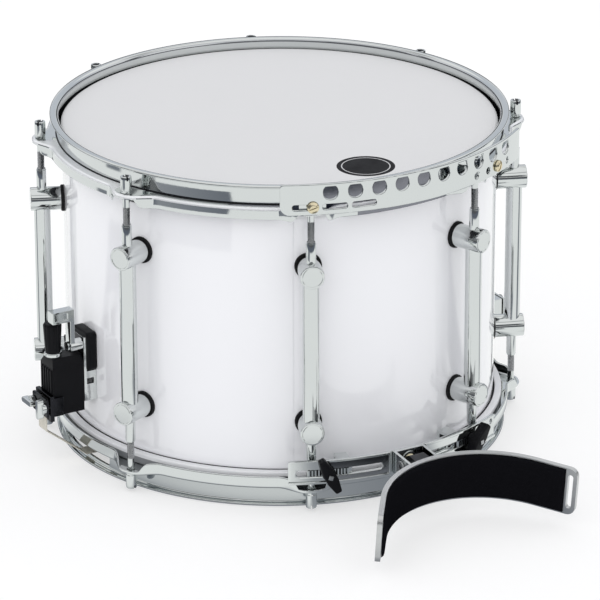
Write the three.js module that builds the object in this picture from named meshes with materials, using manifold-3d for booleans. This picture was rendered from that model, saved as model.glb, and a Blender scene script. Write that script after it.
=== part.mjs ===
// Marching snare drum, 14 inches by 10 inches, with its sling rail and hinged leg rest.
// Millimetres, +Z up. The origin is the centre of the batter head's playing surface.
// The leg rest points to -Y, the snare strainer to -X and the butt end to +X.
import * as THREE from "three";
import { mergeVertices } from "three/addons/utils/BufferGeometryUtils.js";
import Module from "manifold-3d";

const wasm = await Module();
wasm.setup();

// Driving dimensions. Heights run up from the bottom edge of the shell, and a rise or a drop is
// measured from the shell's nearest edge, away from the drum or towards its middle.
const clearance = 0.3; // left between two pieces that touch
const overrun = 2; // how far a cutting tool runs past what it cuts
const weld = 0.001; // vertices closer than this are one vertex
const ringSides = 64;
const stations = 8; // lugs round the drum
const firstAngle = 22.5; // from the leg rest to the first lug

const shell = { radius: 177.8, height: 254, wall: 6.5, edgeLand: 1.6 };
const head = { film: 0.4, ringWidth: 5.8, ringHeight: 9.7, ringSides: 4 };
const hoop = {
  slack: 1.5, // between the head's collar and the hoop's wall
  wall: 2,
  rimRise: 9.3,
  rimLip: 5.2,
  rimThick: 2,
  flangeDrop: 7.7,
  flangeThick: 2.2,
  skirtRoom: 3.4, // between the flesh hoop and the skirt
  skirtThick: 2,
  skirtDrop: 18,
  skirtGapAngle: 4.8, // left open at each side of a lug
  rodOut: 5.5, // from the skirt to the middle of the rods
  earWidth: 21,
  earCorner: 6,
  earLand: 3, // metal outside the rod hole
  gateAngle: 10.6, // each side of the strainer and the butt end
  gateDrop: 6.6,
  gateRise: 4,
};
const rod = {
  radius: 2.8,
  length: 52,
  sides: 8,
  headRadius: 4.5,
  headHeight: 13.6,
  headSides: 12,
  slotWidth: 1.5,
  slotDepth: 3,
};
const lug = {
  postInset: 60.8, // from the shell's edge to the middle of a post
  postRadius: 9.65,
  postReach: 9.5, // past the middle of the rod
  postSides: 16,
  gasket: 2.2,
  tubeRadius: 6.7,
  tubeSides: 12,
  sleeveRadius: 4,
  sleeveOut: 17,
  studRadius: 2.5,
  studIn: 3, // past the inner face of the shell
};
const rail = {
  thick: 2.2,
  drop: 9,
  rise: 16.5,
  fromAngle: -29.6,
  toAngle: 39.8,
  sides: 28,
  cornerLarge: 8,
  cornerSmall: 3,
  holeCount: 10,
  holeFirstAngle: -18.5,
  holeStepAngle: 5.55,
  holeRise: 9.5,
  holeRadius: 6,
  holeFlat: 4.4, // from the hole's middle up to its flat top
  slotCount: 3,
  slotFirstAngle: -24.1,
  slotStepAngle: 6.6,
  slotLength: 20,
  slotHeight: 4.2,
  slotDrop: 2.4,
  eyeAngles: [19.6, 23.9, 32.3],
  eyeRadius: 2.6,
};
const railBracket = {
  rodRoom: 0.4, // between a rod's head and the tab
  thick: 2.1,
  legWidth: 14,
  legIn: 6.5, // inside the middle of the rod
  tabRise: 3,
  left: { stationAngle: -22.5, tabFromAngle: -25.4, tabToAngle: -19.4, screwAngle: -22.4 },
  right: { stationAngle: 22.5, tabFromAngle: 20.6, tabToAngle: 30.6, screwAngle: 27.7 },
};
const railScrew = {
  headRadius: 4.75,
  headHeight: 2.6,
  shankRadius: 1.7,
  sides: 16,
  slotWidth: 1.2,
  slotDepth: 1,
};
const legRail = {
  thick: 2.2,
  bottom: 18,
  top: 38,
  endAngle: 28, // each side of the leg rest
  sides: 20,
  corner: 3,
  lipHeight: 2,
  lipOut: 1.3,
  ribAngle: 4.7,
  ribWidth: 1.6,
  slotFromAngle: 7,
  slotToAngle: 25.4,
  slotHeight: 5.6,
  slotMiddle: 27,
  eyeAngle: 26.6,
  eyeRadius: 2.2,
  eyeDrop: 5.2,
};
const claw = {
  thick: 2.4,
  plateFromAngle: 13.4,
  plateToAngle: 20.6,
  plateBottom: 20.5,
  plateTop: 34.5,
  hookAngle: 14.9,
  hookWidth: 10,
  hookTip: 13,
  hookRoom: 0.5, // between the hook's tip and the skirt
};
const wing = {
  angle: 19,
  studRadius: 2.5,
  studIn: 4,
  studOut: 1.4,
  hubRadius: 5.6,
  hubLength: 3.4,
  barLength: 31,
  barWidth: 8.4,
  barThick: 7.2,
  barCorner: 3.6,
  leftTilt: 27,
  rightTilt: -42,
  sides: 12,
};
const yoke = {
  width: 28.6,
  thick: 2.4,
  bottom: 19.5,
  top: 38.2,
  reach: 28.4,
  tipBottom: 24,
  tipTop: 36.4,
  tipCorner: 3,
  boltRadius: 2.2,
  boltHeight: 29,
};
const hinge = {
  reach: 14, // from the rail's outer face to the pin
  height: 30,
  pinRadius: 3,
  pinSides: 12,
  pinHeadRadius: 5,
  pinHead: 1.5,
  pinDimpleRadius: 1.6,
  pinDimple: 2,
};
const legRest = {
  reach: 25.6, // from the pin to the strip
  tiltAngle: 6.3, // the upper edge leans out
  radius: 89,
  arcAngle: 55, // each side of the tongue
  end: 34.4, // straight stretch past each end of the arc
  thick: 4.2,
  height: 41,
  corner: 7,
  arcSides: 14,
  slotWidth: 4.6,
  slotHeight: 30,
  slotIn: 5.6, // from the end to the middle of the slot
  tongueWidth: 14,
  tongueRadius: 7.4,
  tongueSides: 16,
};
const lining = { thick: 2.4, height: 38.2, end: 24.6 };
const strainer = {
  baseWidth: 26,
  baseBottom: 73,
  baseTop: 106,
  baseCorner: 9,
  baseOut: 8.2, // from the shell to its outer face
  bracketWidth: 22,
  bracketThick: 2.4,
  bracketBottom: 47,
  bracketLand: 1, // above the lever's hub
  windowBottom: 61.5,
  windowTop: 66.5,
  windowIn: 2.4,
  bodyWidth: 22,
  bodyDepth: 28,
  bodyBottom: 39.5,
  bodyShoulder: 81,
  bodyTop: 87.7,
  topInset: 4,
  bodyWall: 2.5,
  ribCount: 5,
  ribStep: 4,
  ribWidth: 1.8,
  ribOut: 1.1,
  ribBottom: 59,
  ribTop: 79,
};
const lever = {
  room: 2.8, // between the housing and the hub
  side: 6, // from the middle of the strainer
  hubRadius: 5.5,
  pinRadius: 2.4,
  pinHeadRadius: 4,
  pinHead: 1.6,
  armOut: 7.4, // from the bracket to the arm
  armThick: 4,
  armWidth: 9,
  padRoom: 2.1, // between the knob and the pad
  padHeight: 10,
  padDepth: 19.5,
  padWidth: 9,
  padDish: 1,
  padDishMargin: 2,
};
const knob = {
  out: 6, // from the housing's outer face in to the knob's axis
  topRadius: 7.6,
  lowRadius: 6.3,
  height: 25,
  ringRadius: 7,
  ringHeight: 3.4,
  spindleRadius: 2.4,
  spindleEnd: 40,
  sides: 20,
  grooveCount: 10,
  grooveRadius: 0.9,
};
const clamp = {
  width: 26,
  bottom: 36,
  top: 58,
  thick: 3.6,
  neckWidth: 6.8,
  neckBottom: 42,
  neckTop: 55,
  neckIn: 7, // past the knob's axis
  travel: 8,
  cheekThick: 2,
  cheekIn: 8,
  cheekBottom: 40,
  cheekTop: 56,
  plateThick: 1.8,
  plateBottom: 40,
  plateTop: 56,
  screwHeight: 48,
  screwSide: 9.8,
  screwRadius: 1.9,
  screwIn: 3,
  screwHeadRadius: 4.6,
  screwHeadLength: 4,
  screwWingLength: 16.4,
  screwWingWidth: 4.6,
  screwWingOut: 5.4,
  screwSides: 12,
};
const butt = {
  baseWidth: 26,
  baseBottom: 33,
  baseTop: 61,
  baseCorner: 5,
  baseThick: 5,
  bodyWidth: 22,
  bodyBottom: 38,
  bodyTop: 56,
  bodyDepth: 34,
  plateThick: 1.8,
  plateBottom: 39,
  screwHeight: 51,
  screwRadius: 2,
  screwIn: 10,
  screwHeadRadius: 4.2,
  screwHeadLength: 3,
};
const snares = {
  count: 10,
  radius: 0.8,
  sides: 6,
  endIn: 17.8, // from the shell's outer face to the end of the snares
  width: 36,
  plateLength: 14,
  plateThick: 1.9,
  drop: 0.35, // between the snare-side film and the plates
};
const strap = {
  width: 14,
  thick: 0.8,
  turnOut: 8.2, // from the shell to the first bend
  strainerTurn: 26,
  strainerEnd: 54,
  buttTurn: 24,
  buttEnd: 46,
};

// Places worked out from the sizes above
const degrees = Math.PI / 180;
const filmIn = shell.radius + clearance;
const filmOut = filmIn + head.film;
const ringIn = filmOut + clearance;
const ringOut = ringIn + head.ringWidth;
const wallIn = filmOut + hoop.slack;
const wallOut = wallIn + hoop.wall;
const rimOut = wallOut + hoop.rimLip;
const skirtIn = ringOut + hoop.skirtRoom;
const skirtOut = skirtIn + hoop.skirtThick;
const rodCircle = skirtOut + hoop.rodOut;
const flangeTop = -hoop.flangeDrop;
const flangeBottom = flangeTop - hoop.flangeThick;
const ringTop = flangeBottom - clearance;
const ringBottom = ringTop - head.ringHeight;
const playing = shell.height + clearance + head.film;
const tabIn = rodCircle + rod.headRadius + railBracket.rodRoom;
const tabOut = tabIn + railBracket.thick;
const railIn = tabOut + clearance;
const railOut = railIn + rail.thick;
const legRailOut = railIn + legRail.thick;
const leverHeight = strainer.bodyTop + lever.room + lever.hubRadius;
const bracketTop = leverHeight + lever.hubRadius + strainer.bracketLand;
const knobBottom = strainer.bodyTop + clearance;
const knobTop = knobBottom + knob.ringHeight + knob.height;
const padBottom = knobTop + lever.padRoom - leverHeight;
const padTop = padBottom + lever.padHeight;
const earRadius = roundHole(rod.radius + 2 * clearance, rod.sides);
const earOut = Math.min(rodCircle + earRadius + hoop.earLand, railIn - clearance);
const snareReach = shell.radius - snares.endIn;
const postRise = shell.height / 2 - lug.postInset;
const stationAngles = Array.from({ length: stations }, (_, i) => firstAngle + (i * 360) / stations);

// The corner radius of a hole with flat sides that a shaft of the given radius turns in
function roundHole(radius, sides) {
  return radius / Math.cos(Math.PI / sides);
}

// Solids for joining and cutting
function toSolid(geometry) {
  const bare = geometry.clone();
  bare.deleteAttribute("normal");
  bare.deleteAttribute("uv");
  const merged = mergeVertices(bare, weld);
  const corners = [];
  for (let i = 0; i < merged.index.count; i += 3) {
    const [a, b, c] = [0, 1, 2].map((k) => merged.index.getX(i + k));
    if (a !== b && b !== c && a !== c) corners.push(a, b, c);
  }
  return new wasm.Manifold(
    new wasm.Mesh({
      numProp: 3,
      vertProperties: new Float32Array(merged.attributes.position.array),
      triVerts: new Uint32Array(corners),
    }),
  );
}

function toGeometry(solid) {
  const { vertProperties, triVerts } = solid.getMesh();
  return new THREE.BufferGeometry()
    .setAttribute("position", new THREE.BufferAttribute(vertProperties, 3))
    .setIndex(new THREE.BufferAttribute(triVerts, 1));
}

const join = (first, ...rest) => rest.reduce((all, next) => all.add(next), first);
const cut = (first, ...rest) => rest.reduce((all, next) => all.subtract(next), first);

// Shapes round the drum's axis. A profile is a list of [radius, height], outer side upwards.
function revolve(profile) {
  const points = [...profile, profile[0]].map(([r, z]) => new THREE.Vector2(r, z));
  return toSolid(new THREE.LatheGeometry(points, ringSides).rotateX(Math.PI / 2));
}

function disc(profile) {
  const points = profile.map(([r, z]) => new THREE.Vector2(r, z));
  return toSolid(new THREE.LatheGeometry(points, ringSides).rotateX(Math.PI / 2));
}

// A stretch of a ring between two angles, counted from the leg rest towards +X
function sector(inner, outer, from, to, bottom, top, sides) {
  const [a, b] = [(from - 90) * degrees, (to - 90) * degrees];
  const shape = new THREE.Shape();
  shape.absarc(0, 0, outer, a, b, false);
  shape.absarc(0, 0, inner, b, a, true);
  const depth = top - bottom;
  const curveSegments = Math.ceil(sides / 2);
  return toSolid(
    new THREE.ExtrudeGeometry(shape, { depth, curveSegments, bevelEnabled: false }).translate(0, 0, bottom),
  );
}

// Plain shapes. They are made in a station's own frame: x outwards, y sideways, z up.
function block([x0, x1], [y0, y1], [z0, z1]) {
  const box = new THREE.BoxGeometry(x1 - x0, y1 - y0, z1 - z0);
  return toSolid(box.translate((x0 + x1) / 2, (y0 + y1) / 2, (z0 + z1) / 2));
}

// Outwards, from radius x0 to x1, about the line at (y, z)
function outwardRound(radius, sides, [x0, x1], y, z, tipRadius = radius) {
  const round = new THREE.CylinderGeometry(tipRadius, radius, x1 - x0, sides);
  return toSolid(round.rotateZ(-Math.PI / 2).translate((x0 + x1) / 2, y, z));
}

function sidewaysRound(radius, sides, [y0, y1], x, z) {
  const round = new THREE.CylinderGeometry(radius, radius, y1 - y0, sides);
  return toSolid(round.translate(x, (y0 + y1) / 2, z));
}

function uprightRound(radius, sides, [z0, z1], x, y, topRadius = radius) {
  const round = new THREE.CylinderGeometry(topRadius, radius, z1 - z0, sides);
  return toSolid(round.rotateX(Math.PI / 2).translate(x, y, (z0 + z1) / 2));
}

const outwardFrame = new THREE.Matrix4().makeBasis(
  new THREE.Vector3(0, 1, 0),
  new THREE.Vector3(0, 0, 1),
  new THREE.Vector3(1, 0, 0),
);

// A flat shape drawn sideways and up, run outwards from x0 to x1
function outwardPrism(shape, [x0, x1], y = 0, z = 0, curveSegments = 4) {
  const prism = new THREE.ExtrudeGeometry(shape, { depth: x1 - x0, curveSegments, bevelEnabled: false });
  return toSolid(prism.applyMatrix4(outwardFrame).translate(x0, y, z));
}

// A flat shape drawn outwards and up, run sideways over a width about y
function sidewaysPrism(shape, width, y = 0, curveSegments = 4) {
  const prism = new THREE.ExtrudeGeometry(shape, { depth: width, curveSegments, bevelEnabled: false });
  return toSolid(prism.rotateX(Math.PI / 2).translate(0, y + width / 2, 0));
}

function polygon(points) {
  return new THREE.Shape(points.map(([x, y]) => new THREE.Vector2(x, y)));
}

function roundedBox(width, height, radius) {
  const [x, y] = [width / 2 - radius, height / 2 - radius];
  const shape = new THREE.Shape();
  shape.absarc(x, y, radius, 0, Math.PI / 2, false);
  shape.absarc(-x, y, radius, Math.PI / 2, Math.PI, false);
  shape.absarc(-x, -y, radius, Math.PI, 1.5 * Math.PI, false);
  shape.absarc(x, -y, radius, 1.5 * Math.PI, 2 * Math.PI, false);
  return shape;
}

// What rounds off a corner at the origin whose metal lies towards +x, +y (turned by signs)
function cornerTool(radius, signX, signY) {
  const centre = [signX * radius, signY * radius];
  const steps = 5;
  const arc = Array.from({ length: steps + 1 }, (_, i) => {
    const angle = (i / steps) * (Math.PI / 2);
    return [centre[0] - signX * radius * Math.sin(angle), centre[1] - signY * radius * Math.cos(angle)];
  });
  return polygon([
    [signX * radius, -signY * overrun],
    ...arc,
    [-signX * overrun, signY * radius],
    [-signX * overrun, -signY * overrun],
  ]);
}

const upright = new THREE.Vector3(0, 0, 1);

// Turns a solid made in a station's frame to its angle, counted from the leg rest towards +X
function atAngle(solid, angle) {
  return toSolid(toGeometry(solid).applyMatrix4(new THREE.Matrix4().makeRotationAxis(upright, (angle - 90) * degrees)));
}

// Finishes
const finish = {
  whiteLacquer: new THREE.MeshStandardMaterial({ color: 0xf2f4f8, roughness: 0.12 }),
  chrome: new THREE.MeshStandardMaterial({ color: 0xd4d8d6, roughness: 0.12, metalness: 1 }),
  film: new THREE.MeshStandardMaterial({ color: 0xdcdce0, roughness: 0.65 }),
  blackPlastic: new THREE.MeshStandardMaterial({ color: 0x141416, roughness: 0.45 }),
  brass: new THREE.MeshStandardMaterial({ color: 0xc9a66b, roughness: 0.3, metalness: 1 }),
  satinAluminium: new THREE.MeshStandardMaterial({ color: 0xb9bbbb, roughness: 0.4, metalness: 1 }),
  felt: new THREE.MeshStandardMaterial({ color: 0x0d0e12, roughness: 1 }),
  steel: new THREE.MeshStandardMaterial({ color: 0x9a9c9e, roughness: 0.35, metalness: 1 }),
  webbing: new THREE.MeshStandardMaterial({ color: 0x1c1d20, roughness: 0.9 }),
};

const drum = new THREE.Group();
drum.position.z = -playing;
const batterEnd = new THREE.Group(); // heights here run up from the shell's top edge
batterEnd.position.z = shell.height;
const snareEnd = new THREE.Group(); // and here down from its bottom edge
snareEnd.rotation.x = Math.PI;
drum.add(batterEnd, snareEnd);

function add(group, name, material, solid) {
  const mesh = new THREE.Mesh(toGeometry(solid), material);
  mesh.name = name;
  group.add(mesh);
  return mesh;
}

function makeShell() {
  const bore = shell.radius - shell.wall;
  const land = shell.radius - shell.edgeLand;
  const bevel = shell.wall - shell.edgeLand;
  const wall = revolve([
    [land, 0],
    [shell.radius, 0],
    [shell.radius, shell.height],
    [land, shell.height],
    [bore, shell.height - bevel],
    [bore, bevel],
  ]);
  const holeSides = 6;
  const radius = roundHole(lug.studRadius + clearance, holeSides);
  const through = [bore - overrun, shell.radius + overrun];
  const holes = stationAngles.flatMap((angle) =>
    [-1, 1].map((side) =>
      atAngle(
        outwardRound(radius, holeSides, through, 0, shell.height / 2 + side * postRise),
        angle,
      ),
    ),
  );
  add(drum, "shell", finish.whiteLacquer, cut(wall, ...holes));
}

function makeHead(group, name) {
  const film = disc([
    [0, clearance],
    [filmIn, clearance],
    [filmIn, ringBottom],
    [filmOut, ringBottom],
    [filmOut, clearance + head.film],
    [0, clearance + head.film],
  ]);
  const ring = revolve([
    [ringIn, ringBottom],
    [ringOut, ringBottom],
    [ringOut, ringTop],
    [ringIn, ringTop],
  ]);
  add(group, name + "_head", finish.film, film);
  add(group, name + "_flesh_hoop", finish.satinAluminium, ring);
}

function hoopEar() {
  const from = wallOut - hoop.wall / 2;
  const shape = new THREE.Shape();
  const half = hoop.earWidth / 2;
  const [x, y] = [earOut - hoop.earCorner, half - hoop.earCorner];
  shape.moveTo(from, -half);
  shape.absarc(x, -y, hoop.earCorner, -Math.PI / 2, 0, false);
  shape.absarc(x, y, hoop.earCorner, 0, Math.PI / 2, false);
  shape.lineTo(from, half);
  const curveSegments = 3;
  const plate = new THREE.ExtrudeGeometry(shape, {
    depth: hoop.flangeThick,
    curveSegments,
    bevelEnabled: false,
  });
  return toSolid(plate.translate(0, 0, flangeBottom));
}

function makeHoop(group, name, hasGates) {
  let ring = revolve([
    [wallIn, flangeBottom],
    [skirtIn, flangeBottom],
    [skirtIn, -hoop.skirtDrop],
    [skirtOut, -hoop.skirtDrop],
    [skirtOut, flangeTop],
    [wallOut, flangeTop],
    [wallOut, hoop.rimRise - hoop.rimThick],
    [rimOut, hoop.rimRise - hoop.rimThick],
    [rimOut, hoop.rimRise],
    [wallIn, hoop.rimRise],
  ]);
  const [inner, outer] = [skirtIn - hoop.skirtRoom / 2, skirtOut + overrun];
  const sides = 4;
  for (const angle of stationAngles) {
    const [from, to] = [angle - hoop.skirtGapAngle, angle + hoop.skirtGapAngle];
    ring = ring.subtract(sector(inner, outer, from, to, -hoop.skirtDrop - overrun, flangeBottom, sides));
    ring = ring.add(atAngle(hoopEar(), angle));
    const hole = uprightRound(
      earRadius,
      rod.sides,
      [flangeBottom - overrun, flangeTop + overrun],
      rodCircle,
      0,
    );
    ring = ring.subtract(atAngle(hole, angle));
  }
  if (hasGates)
    for (const angle of [-90, 90]) {
      const [from, to] = [angle - hoop.gateAngle, angle + hoop.gateAngle];
      const [low, high] = [wallIn - hoop.slack / 2, wallOut + overrun];
      ring = ring.subtract(sector(low, high, from, to, -hoop.gateDrop, hoop.gateRise, sides));
    }
  add(group, name, finish.chrome, ring);
}

// A rod in the frame of its end of the drum, its head standing on the ear
function makeRod(group, name, angle, lift) {
  const seat = flangeTop + clearance + lift;
  const shank = uprightRound(rod.radius, rod.sides, [flangeTop + clearance - rod.length, seat + overrun], 0, 0);
  const top = seat + rod.headHeight;
  const tip = uprightRound(rod.headRadius, rod.headSides, [seat, top], 0, 0);
  const half = rod.slotWidth / 2;
  const across = rod.headRadius + overrun;
  const slot = block([-across, across], [-half, half], [top - rod.slotDepth, top + overrun]);
  const mesh = add(group, name, finish.steel, cut(join(shank, tip), slot));
  const turned = (angle - 90) * degrees;
  mesh.position.set(rodCircle * Math.cos(turned), rodCircle * Math.sin(turned), 0);
}

function makeLug(name, angle) {
  const half = postRise;
  const postBase = shell.radius + lug.gasket;
  const postEnd = rodCircle + lug.postReach;
  const studEnd = shell.radius - shell.wall - lug.studIn;
  let body = uprightRound(lug.tubeRadius, lug.tubeSides, [-half, half], rodCircle, 0);
  const sleeveEnd = half + lug.postRadius + lug.sleeveOut;
  body = body.add(uprightRound(lug.sleeveRadius, lug.tubeSides, [-sleeveEnd, sleeveEnd], rodCircle, 0));
  for (const z of [-half, half]) {
    body = body.add(outwardRound(lug.postRadius, lug.postSides, [postBase, postEnd], 0, z));
    body = body.add(outwardRound(lug.studRadius, rod.sides, [studEnd, postBase + overrun], 0, z));
  }
  const bore = roundHole(rod.radius + clearance, rod.sides);
  const long = sleeveEnd + overrun;
  body = body.subtract(uprightRound(bore, rod.sides, [-long, long], rodCircle, 0));
  const mesh = add(drum, name, finish.chrome, body);
  mesh.position.z = shell.height / 2;
  mesh.rotation.z = (angle - 90) * degrees;
}

// The perforated strip that the sling hooks into
function makeSlingRail() {
  const [bottom, top] = [-rail.drop, rail.rise];
  let strip = sector(railIn, railOut, rail.fromAngle, rail.toAngle, bottom, top, rail.sides);
  const through = [railIn - overrun, railOut + overrun];
  const hole = new THREE.Shape();
  const side = Math.asin(rail.holeFlat / rail.holeRadius);
  hole.absarc(0, 0, rail.holeRadius, Math.PI - side, 2 * Math.PI + side, false);
  for (let i = 0; i < rail.holeCount; i++) {
    const angle = rail.holeFirstAngle + i * rail.holeStepAngle;
    strip = strip.subtract(atAngle(outwardPrism(hole, through, 0, rail.holeRise, 6), angle));
  }
  const slot = roundedBox(rail.slotLength, rail.slotHeight, rail.slotHeight / 2);
  for (let i = 0; i < rail.slotCount; i++) {
    const angle = rail.slotFirstAngle + i * rail.slotStepAngle;
    strip = strip.subtract(atAngle(outwardPrism(slot, through, 0, -rail.slotDrop, 3), angle));
  }
  const screwHole = roundHole(railScrew.shankRadius + clearance, rod.sides);
  const rounds = [
    ...rail.eyeAngles.map((angle) => [angle, rail.eyeRadius]),
    [railBracket.right.screwAngle, screwHole],
  ];
  for (const [angle, radius] of rounds)
    strip = strip.subtract(atAngle(outwardRound(radius, rod.sides, through, 0, -rail.slotDrop), angle));
  const corners = [
    [rail.fromAngle, bottom, rail.cornerLarge, 1, 1],
    [rail.fromAngle, top, rail.cornerSmall, 1, -1],
    [rail.toAngle, bottom, rail.cornerSmall, -1, 1],
    [rail.toAngle, top, rail.cornerSmall, -1, -1],
  ];
  for (const [angle, z, radius, signX, signY] of corners)
    strip = strip.subtract(atAngle(outwardPrism(cornerTool(radius, signX, signY), through, 0, z), angle));
  add(batterEnd, "sling_rail", finish.chrome, strip);
}

// An L-shaped bracket: its leg is held under a tension rod, and its tab stands behind the rail
function makeRailBracket(name, side) {
  const bottom = flangeTop + clearance;
  const half = railBracket.legWidth / 2;
  const leg = block([rodCircle - railBracket.legIn, tabOut - railBracket.thick / 2], [-half, half], [
    bottom,
    bottom + railBracket.thick,
  ]);
  const sides = 6;
  const tab = sector(tabIn, tabOut, side.tabFromAngle, side.tabToAngle, bottom, railBracket.tabRise, sides);
  const rodHole = uprightRound(
    earRadius,
    rod.sides,
    [bottom - overrun, bottom + railBracket.thick + overrun],
    rodCircle,
    0,
  );
  const screwHole = outwardRound(
    roundHole(railScrew.shankRadius + clearance, rod.sides),
    rod.sides,
    [tabIn - overrun, tabOut + overrun],
    0,
    -rail.slotDrop,
  );
  const body = cut(
    join(atAngle(leg, side.stationAngle), tab),
    atAngle(rodHole, side.stationAngle),
    atAngle(screwHole, side.screwAngle),
  );
  add(batterEnd, "rail_bracket_" + name, finish.chrome, body);

  const seat = railOut + clearance;
  const top = seat + railScrew.headHeight;
  const slotHalf = railScrew.slotWidth / 2;
  const across = railScrew.headRadius + overrun;
  const screw = cut(
    join(
      outwardRound(railScrew.headRadius, railScrew.sides, [seat, top], 0, 0),
      outwardRound(railScrew.shankRadius, rod.sides, [tabIn, seat + overrun / 2], 0, 0),
    ),
    block([top - railScrew.slotDepth, top + overrun], [-across, across], [-slotHalf, slotHalf]),
  );
  const mesh = add(batterEnd, "rail_screw_" + name, finish.brass, screw);
  mesh.position.z = -rail.slotDrop;
  mesh.rotation.z = (side.screwAngle - 90) * degrees;
}

// The slotted channel across the front of the snare-side hoop
function makeLegRail() {
  const { bottom, top, endAngle, sides } = legRail;
  let strip = sector(railIn, legRailOut, -endAngle, endAngle, bottom, top, sides);
  const lipIn = legRailOut - legRail.thick / 2;
  const lipOut = legRailOut + legRail.lipOut;
  const through = [railIn - overrun, lipOut + overrun];
  for (const side of [-1, 1]) {
    const [from, to] = side < 0 ? [-endAngle, -legRail.ribAngle] : [legRail.ribAngle, endAngle];
    for (const low of [bottom, top - legRail.lipHeight])
      strip = strip.add(sector(lipIn, lipOut, from, to, low, low + legRail.lipHeight, sides / 2));
    const ribHalf = legRail.ribWidth / 2;
    const rib = block([lipIn, lipOut], [-ribHalf, ribHalf], [bottom, top]);
    strip = strip.add(atAngle(rib, side * legRail.ribAngle));
    const ends = [legRail.slotFromAngle, legRail.slotToAngle].map((angle) => side * angle);
    const low = legRail.slotMiddle - legRail.slotHeight / 2;
    const [a, b] = [Math.min(...ends), Math.max(...ends)];
    strip = strip.subtract(
      sector(through[0], through[1], a, b, low, low + legRail.slotHeight, sides / 2),
    );
    const endRadius = legRail.slotHeight / 2;
    for (const angle of ends) {
      const round = outwardRound(endRadius, rod.sides, through, 0, legRail.slotMiddle);
      strip = strip.subtract(atAngle(round, angle));
    }
    for (const [z, signY] of [
      [bottom, 1],
      [top, -1],
    ]) {
      const tool = outwardPrism(cornerTool(legRail.corner, -side, signY), through, 0, z);
      strip = strip.subtract(atAngle(tool, side * endAngle));
    }
  }
  const eye = outwardRound(legRail.eyeRadius, rod.sides, through, 0, top - legRail.eyeDrop);
  const bolt = outwardRound(
    roundHole(yoke.boltRadius + clearance, rod.sides),
    rod.sides,
    through,
    0,
    yoke.boltHeight,
  );
  strip = cut(strip, atAngle(eye, legRail.eyeAngle), atAngle(bolt, 0));
  add(drum, "leg_rest_rail", finish.chrome, strip);
}

// A claw hooks over the skirt of the snare-side hoop and is drawn to the rail by its wing screw
function makeClaw(name, side) {
  const plateOut = railIn - clearance;
  const plateIn = plateOut - claw.thick;
  const ends = [claw.plateFromAngle * side, claw.plateToAngle * side];
  const sides = 4;
  const plate = sector(
    plateIn,
    plateOut,
    Math.min(...ends),
    Math.max(...ends),
    claw.plateBottom,
    claw.plateTop,
    sides,
  );
  const tipOut = skirtIn - claw.hookRoom;
  const tipIn = tipOut - claw.thick;
  const half = claw.hookWidth / 2;
  const bar = block([tipIn, plateOut - claw.thick / 2], [-half, half], [
    claw.plateTop - claw.thick,
    claw.plateTop,
  ]);
  const tip = block([tipIn, tipOut], [-half, half], [claw.hookTip, claw.plateTop]);
  const hole = outwardRound(
    roundHole(wing.studRadius + clearance, rod.sides),
    rod.sides,
    [plateIn - overrun, plateOut + overrun],
    0,
    legRail.slotMiddle,
  );
  const body = cut(join(plate, atAngle(join(bar, tip), claw.hookAngle * side)), atAngle(hole, wing.angle * side));
  add(drum, "claw_" + name, finish.chrome, body);
}

function makeWingScrew(name, side) {
  const seat = legRailOut + clearance;
  const hubEnd = seat + wing.hubLength;
  const barEnd = hubEnd + wing.barThick;
  const stud = outwardRound(
    wing.studRadius,
    rod.sides,
    [railIn - clearance - claw.thick - wing.studIn, barEnd + wing.studOut],
    0,
    0,
  );
  const hub = outwardRound(wing.hubRadius, wing.sides, [seat, barEnd], 0, 0);
  const bar = outwardPrism(roundedBox(wing.barWidth, wing.barLength, wing.barCorner), [hubEnd, barEnd]);
  const mesh = add(drum, "wing_screw_" + name, finish.blackPlastic, join(stud, hub, bar));
  mesh.position.z = legRail.slotMiddle;
  mesh.rotation.set(0, 0, (wing.angle * side - 90) * degrees);
  mesh.rotateX((side < 0 ? wing.leftTilt : wing.rightTilt) * degrees);
}

// The U-shaped bracket that carries the leg rest's pin
function makeYoke() {
  const back = legRailOut + clearance;
  const face = back + yoke.thick;
  const half = yoke.width / 2;
  const pin = [legRailOut + hinge.reach, hinge.height];
  const tip = legRailOut + yoke.reach;
  const cheek = polygon([
    [back, yoke.bottom],
    [pin[0], yoke.bottom],
    [tip - yoke.tipCorner, yoke.tipBottom],
    [tip, yoke.tipBottom + yoke.tipCorner],
    [tip, yoke.tipTop - yoke.tipCorner],
    [tip - yoke.tipCorner, yoke.tipTop],
    [face, yoke.top],
    [back, yoke.top],
  ]);
  const body = cut(
    join(
      block([back, face], [-half, half], [yoke.bottom, yoke.top]),
      sidewaysPrism(cheek, yoke.thick, half - yoke.thick / 2),
      sidewaysPrism(cheek, yoke.thick, yoke.thick / 2 - half),
    ),
    sidewaysRound(
      roundHole(hinge.pinRadius + clearance, hinge.pinSides),
      hinge.pinSides,
      [-half - overrun, half + overrun],
      ...pin,
    ),
    outwardRound(
      roundHole(yoke.boltRadius + clearance, rod.sides),
      rod.sides,
      [back - overrun, face + overrun],
      0,
      yoke.boltHeight,
    ),
  );
  const station = new THREE.Group();
  station.rotation.z = -Math.PI / 2;
  drum.add(station);
  add(station, "hinge_yoke", finish.chrome, body);

  const shank = half + clearance;
  const end = shank + hinge.pinHead;
  const rivet = cut(
    join(
      sidewaysRound(hinge.pinRadius, hinge.pinSides, [-end, end], ...pin),
      sidewaysRound(hinge.pinHeadRadius, hinge.pinSides, [-end, -shank], ...pin),
      sidewaysRound(hinge.pinHeadRadius, hinge.pinSides, [shank, end], ...pin),
    ),
    sidewaysRound(hinge.pinDimpleRadius, rod.sides, [-end - overrun, hinge.pinDimple - end], ...pin),
    sidewaysRound(hinge.pinDimpleRadius, rod.sides, [end - hinge.pinDimple, end + overrun], ...pin),
  );
  add(station, "hinge_pin", finish.steel, rivet);
  makeLegRest(station, pin);
}

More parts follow.
